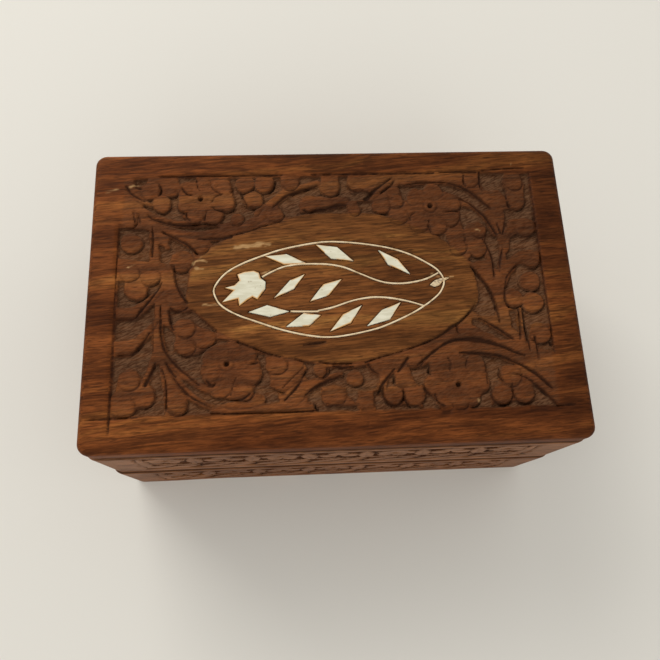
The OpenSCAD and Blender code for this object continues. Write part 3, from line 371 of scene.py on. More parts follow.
class Relief:
    """A carved face on a grid of points: its height under the blank's face, in millimetres,
    and what the wood's material needs to know of each point."""

    # cut is painted shade: dark colour in the cuts and along edges turned away from the light
    MASKS = ("ground", "cut", "plain", "filler", "raw")

    def __init__(self, u, v, depth, light=(0.45, -0.89)):
        self.u, self.v = np.array(u), np.array(v)
        self.U, self.V = np.meshgrid(self.u, self.v, indexing="ij")
        self.depth, self.light = depth, light
        self.h = np.zeros(self.U.shape)
        for mask in self.MASKS:
            setattr(self, mask, np.zeros(self.U.shape))

    def masks(self, extra):
        return {m: np.concatenate([getattr(self, m).ravel(), np.zeros(extra)]) for m in self.MASKS}

    def raise_mask(self, mask, win, values):
        m = getattr(self, mask)
        m[win] = np.maximum(m[win], values)

    def window(self, u0, u1, v0, v1, margin=2.0):
        a, b = np.searchsorted(self.u, (u0 - margin, u1 + margin))
        c, d = np.searchsorted(self.v, (v0 - margin, v1 + margin))
        return slice(a, b), slice(c, d)

    def window_of(self, points, margin=2.0):
        (u0, v0), (u1, v1) = (f(np.array(points, float)[:, :2], axis=0) for f in (np.min, np.max))
        return self.window(u0, u1, v0, v1, margin)

    def round_window(self, x, y, r):
        """A window round a disc, the way from its middle and the distance"""
        win = self.window(x - r, x + r, y - r, y + r)
        dx, dy = self.U[win] - x, self.V[win] - y
        return win, dx, dy, np.hypot(dx, dy) + 1e-6

    def to_line(self, points, win):
        """Distance to an open line less its half width, and the way out"""
        U, V = self.U[win], self.V[win]
        best = np.full(U.shape, 1e9)
        nu, nv = np.zeros(U.shape), np.zeros(U.shape)
        for a, b in zip(points[:-1], points[1:]):
            e = b[:2] - a[:2]
            t = np.clip(((U - a[0]) * e[0] + (V - a[1]) * e[1]) / (e @ e + 1e-9), 0, 1)
            du, dv = U - a[0] - t * e[0], V - a[1] - t * e[1]
            rho = np.hypot(du, dv) + 1e-6
            d = rho - (a[2] + (b[2] - a[2]) * t) / 2
            closer = d < best
            best = np.where(closer, d, best)
            nu, nv = np.where(closer, du / rho, nu), np.where(closer, dv / rho, nv)
        return best, nu, nv

    def to_outline(self, outline, win):
        """Distance outside a closed outline, and the way out"""
        p = np.array(outline, float)[:, :2]
        U, V = self.U[win], self.V[win]
        inside = np.zeros(U.shape, bool)
        for a, b in zip(p, np.roll(p, -1, axis=0)):
            if a[1] != b[1]:
                inside ^= ((a[1] > V) != (b[1] > V)) & (
                    U < a[0] + (V - a[1]) * (b[0] - a[0]) / (b[1] - a[1]))
        ring = np.column_stack([np.vstack([p, p[:1]]), np.zeros(len(p) + 1)])
        best, nu, nv = self.to_line(ring, win)
        sign = np.where(inside, -1, 1)
        return best * sign, nu * sign, nv * sign

    def lit(self, nu, nv):
        """1 where a motif's edge faces away from the light, 0 where it faces it"""
        return np.clip(0.5 + 0.5 * (nu * self.light[0] + nv * self.light[1]), 0, 1) ** 1.3

    def sink(self, outline):
        """Cuts a patch down to the ground, with its tool marks, and paints shade along its edges
        that face away from the light; it is shallow near the far edge
        """
        win = self.window_of(outline)
        U, V = self.U[win], self.V[win]
        d, nu, nv = self.to_outline(outline, win)
        d = d + 0.22 * noise(U / 1.9, V / 1.9, 3)
        shade = self.lit(-nu, -nv)
        inside = step(0.5 - d / (0.8 - 0.3 * shade))
        shallow = 0.4 + 0.6 * step((self.v[-1] - 2 - V) / 5)
        scratch = (0.07 * noise(U / 2.2 + V / 3, V / 0.5, 11) + 0.10 * noise(U / 1.3, V / 0.8, 12)
                   + 0.18 * noise(U / 4, V / 3, 13))
        floor = -(self.depth * shallow + scratch)
        self.h[win] = np.minimum(self.h[win], self.h[win] * (1 - inside) + floor * inside)
        self.raise_mask("ground", win, inside)
        # painted shadow along the patch's edges that face away from the light
        dark = (0.1 + 0.9 * shade) * np.exp(-((d + 0.05) / 0.34) ** 2) * shallow
        self.raise_mask("cut", win, 0.7 * dark)

    def stand(self, win, d, nu, nv, top=-0.06, drop=0.12, tilt=(0, 0), strength=1.0):
        """Leaves a motif standing and paints shade along its edges that face away from the light: d
        is the distance outside its outline, (nu, nv) points out
        """
        h, U, V = self.h[win], self.U[win], self.V[win]
        lit = self.lit(nu, nv)
        crown = top - drop * np.exp(np.minimum(d, 0) / 0.5) * (0.4 + 0.6 * lit)
        crown = crown + tilt[0] * (U - U.mean()) + tilt[1] * (V - V.mean())
        crown = crown + 0.02 * noise(U / 1.7, V / 0.6, 21)
        flush = step((h + 0.6 * self.depth) / (0.25 * self.depth))
        rise = step(1 - d / (0.25 + 0.5 * (1 - lit)))
        stood = np.where(d < 0, crown, np.maximum(h, h + (crown - h) * rise))
        blend = np.clip(lit + step(-d / 1.5), 0, 1)
        scribed = np.where(d < 0, h + (crown - h) * blend, h)
        groove = strength * 0.55 * lit * np.exp(-((d - 0.22) / 0.3) ** 2)
        self.h[win] = flush * scribed + (1 - flush) * stood - groove
        # painted shade in the groove along the edges turned away from the light
        dark = 0.9 * strength * lit * np.exp(-((d - 0.22) / 0.29) ** 2)
        keep = step(0.5 + d / 0.3)
        covered = 1 - (1 - keep) * (1 - 0.7 * flush)
        self.cut[win] = np.maximum(self.cut[win] * covered, dark)
        self.ground[win] = self.ground[win] * keep

    def bud(self, x, y, r, **how):
        win, dx, dy, rho = self.round_window(x, y, r)
        turn = np.arctan2(dy, dx)
        uneven = r * (1 + 0.045 * np.sin(2 * turn + 3 * x) + 0.035 * np.sin(3 * turn + 5 * y))
        self.stand(win, rho - uneven, dx / rho, dy / rho, **how)

    def stem(self, points, **how):
        c = smooth_curve(points, 5)
        win = self.window_of(c, 4.5)
        self.stand(win, *self.to_line(c, win), **how)

    def pad(self, outline, **how):
        win = self.window_of(outline)
        self.stand(win, *self.to_outline(outline, win), **how)

    def incise(self, points, deep=0.6, dark=1.0):
        """A cut that is wide where it is deep, painted dark with shade where it is deep"""
        c = smooth_curve(points, 4)
        win = self.window_of(c)
        d = self.to_line(c, win)[0] + 0.1 * noise(self.U[win] / 0.9, self.V[win] / 0.9, 23)
        self.h[win] -= deep * step(0.5 - d / 0.5)
        self.raise_mask("cut", win, dark * step(0.55 - d / 0.5))

    def flower(self, cx, cy, ring, petals):
        """Petals round a hub with a punched hole; ring is how deep the hub is cut round"""
        reach = np.mean([math.hypot(x - cx, y - cy) for x, y, _ in petals])
        self.bud(cx, cy, reach, top=-0.1, strength=0.0)
        for x, y, r in petals:
            away = np.array([x - cx, y - cy])
            away = away / np.hypot(*away)
            win, dx, dy, rho = self.round_window(x, y, r)
            outer = np.clip(0.45 + 0.9 * (dx * away[0] + dy * away[1]) / rho, 0, 1)
            self.stand(win, rho - r * (1 + 0.04 * np.sin(3 * np.arctan2(dy, dx) + x)), dx / rho,
                       dy / rho, top=-0.08, drop=0.16, tilt=tuple(0.05 * away), strength=outer)
        # cuts between the petals, then three veins in each, all painted dark with shade
        turns = sorted(math.atan2(y - cy, x - cx) for x, y, _ in petals)
        for a, b in zip(turns, turns[1:] + [turns[0] + 2 * math.pi]):
            c, s = math.cos((a + b) / 2), math.sin((a + b) / 2)
            self.incise([(cx + 3 * c, cy + 3 * s, 0.05), (cx + reach * c, cy + reach * s, 0.2)],
                        deep=0.15, dark=0.3)
        for x, y, r in petals:
            for bend in (-0.5, 0.1, 0.6):
                end = (x + bend * (y - cy) * r / reach, y - bend * (x - cx) * r / reach)
                self.incise([((3 * cx + end[0]) / 4, (3 * cy + end[1]) / 4, 0.05), (*end, 0.08)],
                            deep=0.12, dark=0.36)
        win, dx, dy, rho = self.round_window(cx, cy, 3)
        low = self.lit(dx / rho * 0.3 - 0.4, dy / rho)
        groove = ring * (0.25 + 0.75 * low) * np.exp(-((rho - 2.2) / 0.4) ** 2)
        hole = step((1.0 - rho) / 0.5)
        self.h[win] -= 0.5 * groove + 1.3 * hole
        # the ring round the hub and the hole are painted dark as shade, the ring most on its side
        # turned from the light
        self.raise_mask("cut", win, np.maximum(groove, hole))

    def scuff(self, ax, ay, bx, by, width):
        line = np.array([(ax, ay, width), (bx, by, width)])
        win = self.window_of(line)
        d = self.to_line(line, win)[0] + 0.5 * noise(self.U[win] / 1.4, self.V[win] / 0.5, 27)
        self.raise_mask("raw", win, step(0.5 - d / 0.5))

    def seat(self, d, win, reach):
        """The dark filler round an inlaid piece, and the seat under it"""
        rough = 0.14 * noise(self.U[win] / 1.1, self.V[win] / 1.1, 31)
        near = step((reach + rough - d) / 0.25)
        self.h[win] -= SEAT * near
        self.raise_mask("filler", win, near)


def planed(x, y):
    """The hand-planed face of the lid is not quite even"""
    fade = step((HALF_W - CORNER_R - np.abs(x)) / 3) * step((HALF_D - CORNER_R - np.abs(y)) / 3)
    return 0.06 * noise(x / 14, y / 9, 41) * fade


def tone(x, y):
    """How much lighter or darker the board is from place to place"""
    def patch(cx, cy, wide, high):
        return np.exp(-((x - cx) / wide) ** 2 - ((y - cy) / high) ** 2)

    dark = 0.09 * step((y + 5) / 40) * step((x + 45) / 40) + 0.04 * step((-x - 30) / 30)
    dark = dark + 0.1 * patch(-2, 44, 22, 4) + 0.06 * patch(-34, 31, 8, 8)
    dark = dark + 0.08 * step((x - 64) / 4)
    pale = 0.1 * patch(-4, -15, 26, 9) + 0.07 * patch(10, -1, 18, 6) + 0.06 * patch(58, 0, 8, 16)
    pale = pale + 0.1 * patch(50, -32, 10, 7)
    return 0.09 * -x / HALF_W - dark + pale + 0.05 * noise(x / 11, y / 4, 47)


def lid_relief():
    left, right, front, back = FIELD

    def lines(rim, low, high):
        fine = np.arange(low, high, GRID)
        return np.concatenate([np.linspace(-rim, low, 5)[:-1], fine,
                               np.linspace(fine[-1] + GRID, rim, 5)])

    r = Relief(lines(HALF_W - CORNER_R, left - 0.6, right + 0.6),
               lines(HALF_D - CORNER_R, front - 0.8, back + 2.0), GROUND)
    outside = np.maximum.reduce([left - r.U, r.U - right, front - r.V, r.V - back])
    worked = step(-outside / 1.5)
    r.h -= worked * (0.1 + 0.12 * noise(r.U / 4.5, r.V / 3.5, 43)
                     + 0.03 * noise(r.U / 2, r.V / 0.7, 44))
    for outline in GROUNDS:
        r.sink(outline)
    win = r.window_of(MEDALLION)
    d, nu, nv = r.to_outline(smooth_curve(MEDALLION, 3, closed=True), win)
    r.stand(win, d, nu, nv, top=0.0, drop=0.1, strength=0.45)
    r.h[win] = np.where(d < -0.8, 0, r.h[win])
    r.plain[win] = step(0.5 - d / 0.6)
    for i, points in enumerate(STEMS):
        r.stem(points, top=-0.08 - 0.04 * (i % 3), strength=0.55)
    for outline in LEAVES:
        r.pad(outline, top=-0.12, strength=0.8)
    for i, bud in enumerate(BUDS):
        r.bud(*bud, top=-0.06 - 0.04 * (i % 3), drop=0.16,
              tilt=(0.025 * math.sin(7.1 * i), 0.025 * math.cos(5.3 * i)))
    for cx, cy, ring, petals in FLOWERS:
        r.flower(cx, cy, ring, rows(*petals, n=3))
    for points in CUTS:
        r.incise(points)
    for scuff in SCUFFS:
        r.scuff(*scuff)
    win = r.window_of(OVAL)
    in_oval = step(0.5 - r.to_outline(smooth_curve(OVAL, 3, closed=True), win)[0])
    r.plain[win] -= 0.15 * in_oval
    for outline in [BONE_FLOWER, BONE_TIP] + BONE_LEAVES:
        win = r.window_of(outline)
        r.seat(r.to_outline(outline, win)[0], win, reach=0.3)
    for points in (OVAL, UPPER_STEM, LOWER_STEM):
        c = smooth_curve(points, 5, points is OVAL)
        if points is OVAL:
            c = np.vstack([c, c[:1]])
        c = np.column_stack([c, np.full(len(c), 0.6)])
        win = r.window_of(c)
        r.seat(r.to_line(c, win)[0], win, reach=0.16)
    # handling has dulled the tops of the carving a little
    r.ground = np.maximum(r.ground, 0.3 * worked * (1 - r.plain.clip(0, 1)))
    r.h += planed(r.U, r.V)
    return r


# ---- meshes --------------------------------------------------------------


def new_piece(name, verts, faces, material, body, attributes=None, sharp=55):
    mesh = bpy.data.meshes.new(name)
    mesh.from_pydata((np.array(verts) * MM).tolist(), [], faces)
    mesh.validate()
    for key, values in (attributes or {}).items():
        mesh.attributes.new(key, "FLOAT", "POINT").data.foreach_set("value", values)
    mesh.shade_smooth()
    mesh.set_sharp_from_angle(angle=math.radians(sharp))
    mesh.materials.append(material)
    obj = bpy.data.objects.new(name, mesh)
    bpy.context.scene.collection.objects.link(obj)
    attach(obj, body)
    return obj


def grid_faces(nu, nv, start=0):
    i, j = np.meshgrid(np.arange(nu - 1), np.arange(nv - 1), indexing="ij")
    a = (start + i * nv + j).ravel()
    return np.stack([a, a + nv, a + nv + 1, a + 1], axis=1).tolist()


def grid_rim(nu, nv):
    """The four sides of a grid, counter-clockwise from the low corner, corners in both"""
    last = (nu - 1) * nv
    return [list(range(0, last + 1, nv)), list(range(last, last + nv)),
            list(range(last + nv - 1, -1, -nv)), list(range(nv - 1, -1, -1))]


def carved_panel(material):
    """The lid's panel: a carved grid, then rings round it, over the edge and down the sides"""
    r = lid_relief()
    nu, nv = r.U.shape
    top = np.stack([r.U.ravel(), r.V.ravel(), TOP + r.h.ravel()], axis=1)
    # the rim of the grid as index and outward angle; a corner fans out over a quarter turn
    rim = []
    fan = 8
    for ids, angle in zip(grid_rim(nu, nv), (-90, 0, 90, 180)):
        rim += [(k, math.radians(angle)) for k in ids]
        rim += [(ids[-1], math.radians(angle + 90 * f / fan)) for f in range(1, fan)]
    profile = [(t, 0.0) for t in (0.9, CORNER_R - EDGE_R)]
    for s in np.radians(range(15, 91, 15)):
        profile.append((CORNER_R - EDGE_R * (1 - math.sin(s)), -EDGE_R * (1 - math.cos(s))))
    profile += [(CORNER_R, -0.75 * PANEL_T), (CORNER_R, -PANEL_T + 0.35),
                (CORNER_R - 0.35, -PANEL_T)]
    idx = np.array([k for k, _ in rim])
    way = np.array([[math.cos(a), math.sin(a)] for _, a in rim])
    verts, faces = [top], grid_faces(nu, nv)
    previous, count = idx, len(top)
    for t, z in profile:
        ring = top[idx]
        ring[:, :2] += way * t
        wave = 0.16 * noise(ring[:, 0] / 17, ring[:, 1] / 17 + 4, 51) * step((t - 1) / 3)
        ring[:, 2] = TOP + z + (r.h.ravel()[idx] if t < 1 else 0) + np.minimum(wave, 0) * (z > -5)
        verts.append(ring)
        now = count + np.arange(len(idx))
        for k in range(len(idx)):
            m = (k + 1) % len(idx)
            quad = [previous[k], now[k], now[m], previous[m]]
            faces.append([int(q) for q in dict.fromkeys(quad)])
        previous, count = now, count + len(idx)
    faces.append([int(k) for k in previous[::-1]])
    verts = np.concatenate(verts)
    masks = {**r.masks(count - len(top)), "tone": tone(verts[:, 0], verts[:, 1])}
    return new_piece("lid_panel_carved", verts, faces, material, "lid", masks, 75)


def carved_wall(node, side, material, seed):
    """A wall whose outer face is carved. side: 0 front, -1 left, 1 right"""
    low, high = box_mm(node)
    z0, z1 = low[2], high[2]
    inner = []
    if side == 0:
        # along the left end, round the corner, along the front, round the other corner
        ends = np.linspace(0, WALL_T - CORNER_R, 4)[:-1]
        cx, cy = HALF_W - CORNER_R, -HALF_D + CORNER_R

        def corner(x, start):
            turns = ((math.cos(a), math.sin(a)) for a in np.radians(
                np.linspace(start, start + 90, 13)))
            return [(x + CORNER_R * c, cy + CORNER_R * s, c, s) for c, s in turns]

        pts = [(-HALF_W, low[1] + WALL_T - t, -1, 0) for t in ends] + corner(-cx, 180)
        pts += [(x, -HALF_D, 0, -1) for x in np.arange(-cx + WALL_GRID, cx - 0.2, WALL_GRID)]
        pts += corner(cx, 270) + [(HALF_W, low[1] + WALL_T - t, 1, 0) for t in ends[::-1]]
    else:
        half = high[1]
        ys = np.concatenate([[-half], np.arange(-half + WALL_GRID, half - 0.2, WALL_GRID), [half]])
        pts = [(side * HALF_W, y, side, 0) for y in ys[::side]]
        inner = [(side * (HALF_W - WALL_T), pts[k][1]) for k in (-1, 0)]
    pts = np.array(pts)
    s = np.concatenate([[0], np.cumsum(np.hypot(*np.diff(pts[:, :2], axis=0).T))])
    s -= s[-1] / 2
    z = np.concatenate([[z0, z0 + 0.25], np.arange(z0 + 0.6, z1 - 3, WALL_GRID),
                        np.linspace(z1 - 3, z1, 13)])
    r = wall_relief(s, z, z0, z1, side, seed)
    out = r.h - 0.3 * np.clip(1 - np.minimum(r.V - z0, z1 - r.V) / 0.35, 0, 1) ** 2
    # at the front the rail stands a little proud of the panel, and the base of the rail
    if side == 0:
        lean = RAIL_OUT[0] + (RAIL_OUT[1] - RAIL_OUT[0]) * step((r.V - z0) / (z1 - z0))
        if z0 < 1:
            lean = BASE_OUT[0] + BASE_OUT[1] * step((-r.U - 40) / 25)
        out = out + lean * np.maximum(-pts[:, 3, None], 0)
    ns, nz = r.U.shape
    verts = list(np.stack([pts[:, 0, None] + pts[:, 2, None] * out,
                           pts[:, 1, None] + pts[:, 3, None] * out, r.V], axis=2).reshape(-1, 3))
    faces = grid_faces(ns, nz)
    k = len(verts)
    bottom, end, ceiling, start = grid_rim(ns, nz)
    bottom, ceiling = bottom[::-1], ceiling[::-1]
    if inner:
        verts += [np.array([x, y, z]) for x, y in inner for z in (z0, z1)]
        faces += [bottom + [k + 2, k], ceiling + [k + 1, k + 3], [k, k + 2, k + 3, k + 1],
                  end + [k + 1, k], start + [k + 2, k + 3]]
    else:
        faces += [bottom, ceiling, end + start]
    obj = new_piece(node + "_carved", np.array(verts), faces, material, node.split("_")[0],
                    r.masks(len(verts) - k), sharp=60)
    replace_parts(obj, node)


def wall_relief(s, z, z0, z1, side, seed):
    """A vine along a wall, with buds and flowers over it and long leaves under it"""
    r = Relief(s, z, WALL_GROUND, light=(0.3, -0.95))
    lid = z0 > 10
    # how often the motif repeats, and half the length of the carved field
    units, half = (7, 62.3) if side == 0 else (5, s[-1] - 5)
    low, high = z0 + WALL_FRAME, z1 - WALL_FRAME
    mid = (low + high) / 2
    pitch = 2 * half / units
    k = (high - low) / MOTIF_H
    rng = np.random.RandomState(seed)
    worked = (step((half + 2 - np.abs(r.U)) / 3) * step((high + 1.5 - r.V) / 2)
              * step((r.V - low + 1.5) / 2))
    r.h -= worked * (0.08 + 0.12 * noise(r.U / 6, r.V / 4, seed + 60))
    r.sink([(-half, low), (half, low), (half, high), (-half, high)])
    r.stem([(-half + i * pitch / 4, mid - 2.4 * k + 1.3 * math.sin(i * math.pi / 2), 1.9)
            for i in range(4 * units + 1)])
    # an upright leaf between every two units
    for i in range(units + 1):
        x = -half + i * pitch
        if 0 < i < units:
            lean = rng.uniform(-1, 1)
            r.stem([(x - lean, mid - 2 * k, 1.4), (x, mid + 4 * k, 5.2),
                    (x + lean, mid + 12 * k, 1)])
            r.incise([(x - lean, mid - 1 * k, .2), (x, mid + 4 * k, .35),
                      (x + lean, mid + 9 * k, .1)], deep=.15, dark=0.5)
        else:
            x += 1.6 if i == 0 else -1.6
            r.stem([(x, mid - 8 * k, 2), (x, mid, 3.4), (x, mid + 11 * k, 1.4)])
    for i in range(units):
        x = -half + (i + 0.5) * pitch
        if (i + lid) % 2:
            turn = rng.uniform(0, 1)
            r.flower(x, mid + 6.3 * k, 0.5, [
                (x + 3.7 * math.cos(turn + t * 2 * math.pi / 5),
                 mid + 6.3 * k + 3.6 * math.sin(turn + t * 2 * math.pi / 5), 2.6)
                for t in range(5)])
        else:
            for dx, dy in ((-3.2, 4.5), (3.2, 4.8), (0, 9)):
                r.bud(x + dx + rng.uniform(-0.2, 0.2), mid + dy * k, 3.0)
        left, right = 0.47 * pitch, 0.5 * pitch
        for leaf in (((-left, 10.4, 1.4), (-0.5 * left, 7.6, 4.6), (0.2 * left, 4, 1.6)),
                     ((-0.3 * left, 11.4, 1.4), (0.4 * right, 9, 4.8), (right, 5, 1.6)),
                     ((0.3 * right, 4.4, 1), (0.7 * right, 3.6, 2.6), (right, 1.5, 1))):
            r.stem([(x + u, mid - v * k, w) for u, v, w in leaf])
        # the deep gouge over the vine, ragged where the chips tore out, painted dark with shade
        long, fat = rng.uniform(4, 5.6), rng.uniform(1.8, 2.8)
        g = mid + 0.4 * k + rng.uniform(-0.4, 0.4)
        r.incise([(x - long, g - 0.4, 0.5), (x - 0.4 * long, g + 0.2, fat),
                  (x + 0.3 * long, g, 0.7 * fat), (x + long, g + 0.5, 0.4)], deep=0.35)
        r.incise([(x + 0.8 * right, mid - 10 * k, 0.5), (x + right, mid - 9 * k, 1.8),
                  (x + 1.2 * right, mid - 10.6 * k, 0.5)], deep=0.3)
    r.incise([(-half - 0.5, high + 0.6, .3), (0, high + 0.8, .5), (half + 0.5, high + 0.5, .3)],
             deep=0.3)
    if lid:
        # the panel doesn't quite close on the rail, most of all at its front left corner
        open_end = 0
        if side <= 0:
            open_end = step((-r.U - 52) / 9) if side == 0 else step((r.U - s[-1] + 14) / 14)
        near = step((r.V - (z1 - 1.0 - 1.6 * open_end)) / 0.4)
        r.h -= (0.4 + 0.8 * open_end) * near
    else:
        near = step((r.V - (z1 - 0.8)) / 0.3)
        r.h -= 0.5 * near
    # the step at the wall's top, under the panel or under the rail, is painted dark as shade
    r.cut = np.maximum(r.cut, near * (r.V < z1 - 0.01))
    return r


def plate(node, outline, z0, z1, material):
    """A flat piece of bone with a softened top edge"""
    p = np.array(outline, float)
    if np.sum(p[:, 0] * np.roll(p[:, 1], -1) - np.roll(p[:, 0], -1) * p[:, 1]) < 0:
        p = p[::-1]
    n = len(p)
    inward = []
    for i in range(n):
        a, b = p[i] - p[i - 1], p[(i + 1) % n] - p[i]
        na, nb = (np.array([-e[1], e[0]]) / np.hypot(*e) for e in (a, b))
        m = na + nb
        inward.append(m / max(m @ m / 2, 0.6))
    inward = np.array(inward)
    small = p + BONE_BEVEL * inward
    # rings from the foot up and inwards, each with how far it is stained
    rings = [(p, z0, 1.0), (p, z1 - BONE_BEVEL, 1.0), ((p + small) / 2, z1 - BONE_BEVEL * 0.3, 1.0),
             (small, z1, 0.9), (p + STAIN * inward, z1, 0.0)]
    verts = [(x, y, z if z == z0 else z + planed(x, y)) for ring, z, _ in rings for x, y in ring]
    faces = [[k * n + i, k * n + (i + 1) % n, (k + 1) * n + (i + 1) % n, (k + 1) * n + i]
             for k in range(len(rings) - 1) for i in range(n)]
    faces += [list(reversed(range(n))), [(len(rings) - 1) * n + i for i in range(n)]]
    edge = np.repeat([stain for _, _, stain in rings], n)
    obj = new_piece(node + "_bone", verts, faces, material, "lid", {"edge": edge}, 40)
    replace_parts(obj, node)


def wire(name, node, points, closed, material):
    """A wire rubbed flush with the wood"""
    deep = TOP - box_mm("inlay_oval_wire")[0][2]
    c = smooth_curve(points, 5, closed)
    n = len(c)
    ahead = np.roll(c, -1, axis=0) - np.roll(c, 1, axis=0)
    if not closed:
        ahead[0], ahead[-1] = c[1] - c[0], c[-1] - c[-2]
    ahead /= np.hypot(*ahead.T)[:, None]
    side = np.stack([-ahead[:, 1], ahead[:, 0]], axis=1)
    # its width wavers a little from point to point
    along = np.arange(n) * 0.37
    w = WIRE_W * (1 + 0.14 * noise(along, along * 0 + len(name), 71))
    profile = [(-0.5, -deep), (-0.5, -0.06), (-0.3, 0.05), (0.3, 0.05), (0.5, -0.06), (0.5, -deep)]
    m = len(profile)
    rest = TOP + planed(c[:, 0], c[:, 1])
    verts = [(c[i, 0] + side[i, 0] * w[i] * a, c[i, 1] + side[i, 1] * w[i] * a, rest[i] + b)
             for i in range(n) for a, b in profile]
    faces = []
    for i in range(n if closed else n - 1):
        a, b = i * m, ((i + 1) % n) * m
        faces += [[a + k, a + (k + 1) % m, b + (k + 1) % m, b + k] for k in range(m)]
    if not closed:
        faces += [list(range(m)), [(n - 1) * m + k for k in reversed(range(m))]]
    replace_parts(new_piece(name, verts, faces, material, "lid", sharp=50), node)


def velvet_pad(node, axis, sign, material, body):
    """Velvet over a card, its edges rolled over, looking along an axis one way or the other"""
    low, high = box_mm(node)
    u, v = [k for k in range(3) if k != axis]
    # points along and across, closer together towards the rolled edges
    nu, nv = 48, 30
    su, sv = (0.5 - 0.5 * np.cos(np.linspace(0, math.pi, n)) for n in (nu, nv))
    U, V = np.meshgrid(low[u] + su * (high[u] - low[u]), low[v] + sv * (high[v] - low[v]),
                       indexing="ij")
    thick = high[axis] - low[axis]
    d = np.minimum.reduce([U - low[u], high[u] - U, V - low[v], high[v] - V])
    roll = thick * 0.75 * (1 - np.sqrt(np.clip(1 - (1 - np.clip(d / 1.1, 0, 1)) ** 2, 0, 1)))
    puff = 0.18 * (1 - step(d / 9)) * step(d / 1.5) + 0.05 * (1 + noise(U / 11, V / 8, 81))
    front = thick - roll - PILE + puff
    near = (low if sign > 0 else high)[axis]
    verts = np.zeros((2, nu * nv, 3))
    for part, depth in zip(verts, (front, np.zeros_like(front))):
        part[:, u], part[:, v] = U.ravel(), V.ravel()
        part[:, axis] = near + sign * depth.ravel()
    rim = [k for ids in grid_rim(nu, nv) for k in ids[:-1]]
    faces = grid_faces(nu, nv) + [f[::-1] for f in grid_faces(nu, nv, nu * nv)]
    faces += [[rim[k], rim[k - 1], rim[k - 1] + nu * nv, rim[k] + nu * nv]
              for k in range(len(rim))]
    obj = new_piece(node + "_velvet", verts.reshape(-1, 3), faces, material, body,
                    sharp=80)
    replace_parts(obj, node)


# ---- materials -----------------------------------------------------------


class Nodes:
    """A small helper that builds a node tree"""

    def __init__(self, name):
        self.material = bpy.data.materials.new(name)
        self.material.use_nodes = True
        self.tree = self.material.node_tree
        self.shader = self.tree.nodes["Principled BSDF"]

    def add(self, kind, **inputs):
        node = self.tree.nodes.new("ShaderNode" + kind)
        for key, value in inputs.items():
            self.put(node.inputs[int(key[1:]) if key[0] == "_" else key.replace("_", " ")], value)
        return node

    def put(self, socket, value):
        if isinstance(value, bpy.types.NodeSocket):
            self.tree.links.new(value, socket)
        else:
            socket.default_value = value

    def math(self, operation, a, b, clamp=False):
        node = self.add("Math", _0=a, _1=b)
        node.operation, node.use_clamp = operation, clamp
        return node.outputs[0]

    def times(self, a, b, clamp=False):
        return self.math("MULTIPLY", a, b, clamp)

    def plus(self, a, b):
        return self.math("ADD", a, b)

    def mix(self, factor, a, b, blend="MIX"):
        node = self.tree.nodes.new("ShaderNodeMix")
        node.data_type, node.blend_type = "RGBA", blend
        for socket, value in ((0, factor), (6, a), (7, b)):
            self.put(node.inputs[socket], value)
        return node.outputs[2]

    def tint(self, factor, a, b):
        return self.mix(factor, a, b, "MULTIPLY")

    def coords(self, scale, turn=0.0, shift=(0, 0, 0)):
        """Object coordinates, turned about Z in degrees and then stretched"""
        place = self.add("TexCoord").outputs["Object"]
        if turn:
            place = self.add("Mapping", Vector=place,
                             Rotation=(0, 0, math.radians(turn))).outputs[0]
        return self.add("Mapping", Vector=place, Scale=scale, Location=shift).outputs[0]

    def noise(self, vector, detail, rough=0.5):
        node = self.add("TexNoise", Vector=vector, Scale=1.0, Detail=detail, Roughness=rough)
        return node.outputs["Fac"]

    def ramp(self, factor, *stops):
        """An eased ramp through stops of a position and a grey or a colour"""
        node = self.add("ValToRGB", Fac=factor)
        ramp = node.color_ramp
        ramp.interpolation = "EASE"
        while len(ramp.elements) < len(stops):
            ramp.elements.new(0.5)
        for element, (at, colour) in zip(ramp.elements, stops):
            element.position = at
            element.color = (*(colour if isinstance(colour, tuple) else (colour,) * 3), 1)
        return node.outputs[0]

    def attribute(self, name):
        node = self.add("Attribute")
        node.attribute_name = name
        return node.outputs["Fac"]

    def bump(self, height, strength, distance, normal=None):
        node = self.add("Bump", Height=height, Strength=strength, Distance=distance)
        if normal is not None:
            self.put(node.inputs["Normal"], normal)
        return node.outputs[0]

    def out(self, **values):
        for key, value in values.items():
            self.put(self.shader.inputs[key.replace("_", " ")], value)
        return self.material


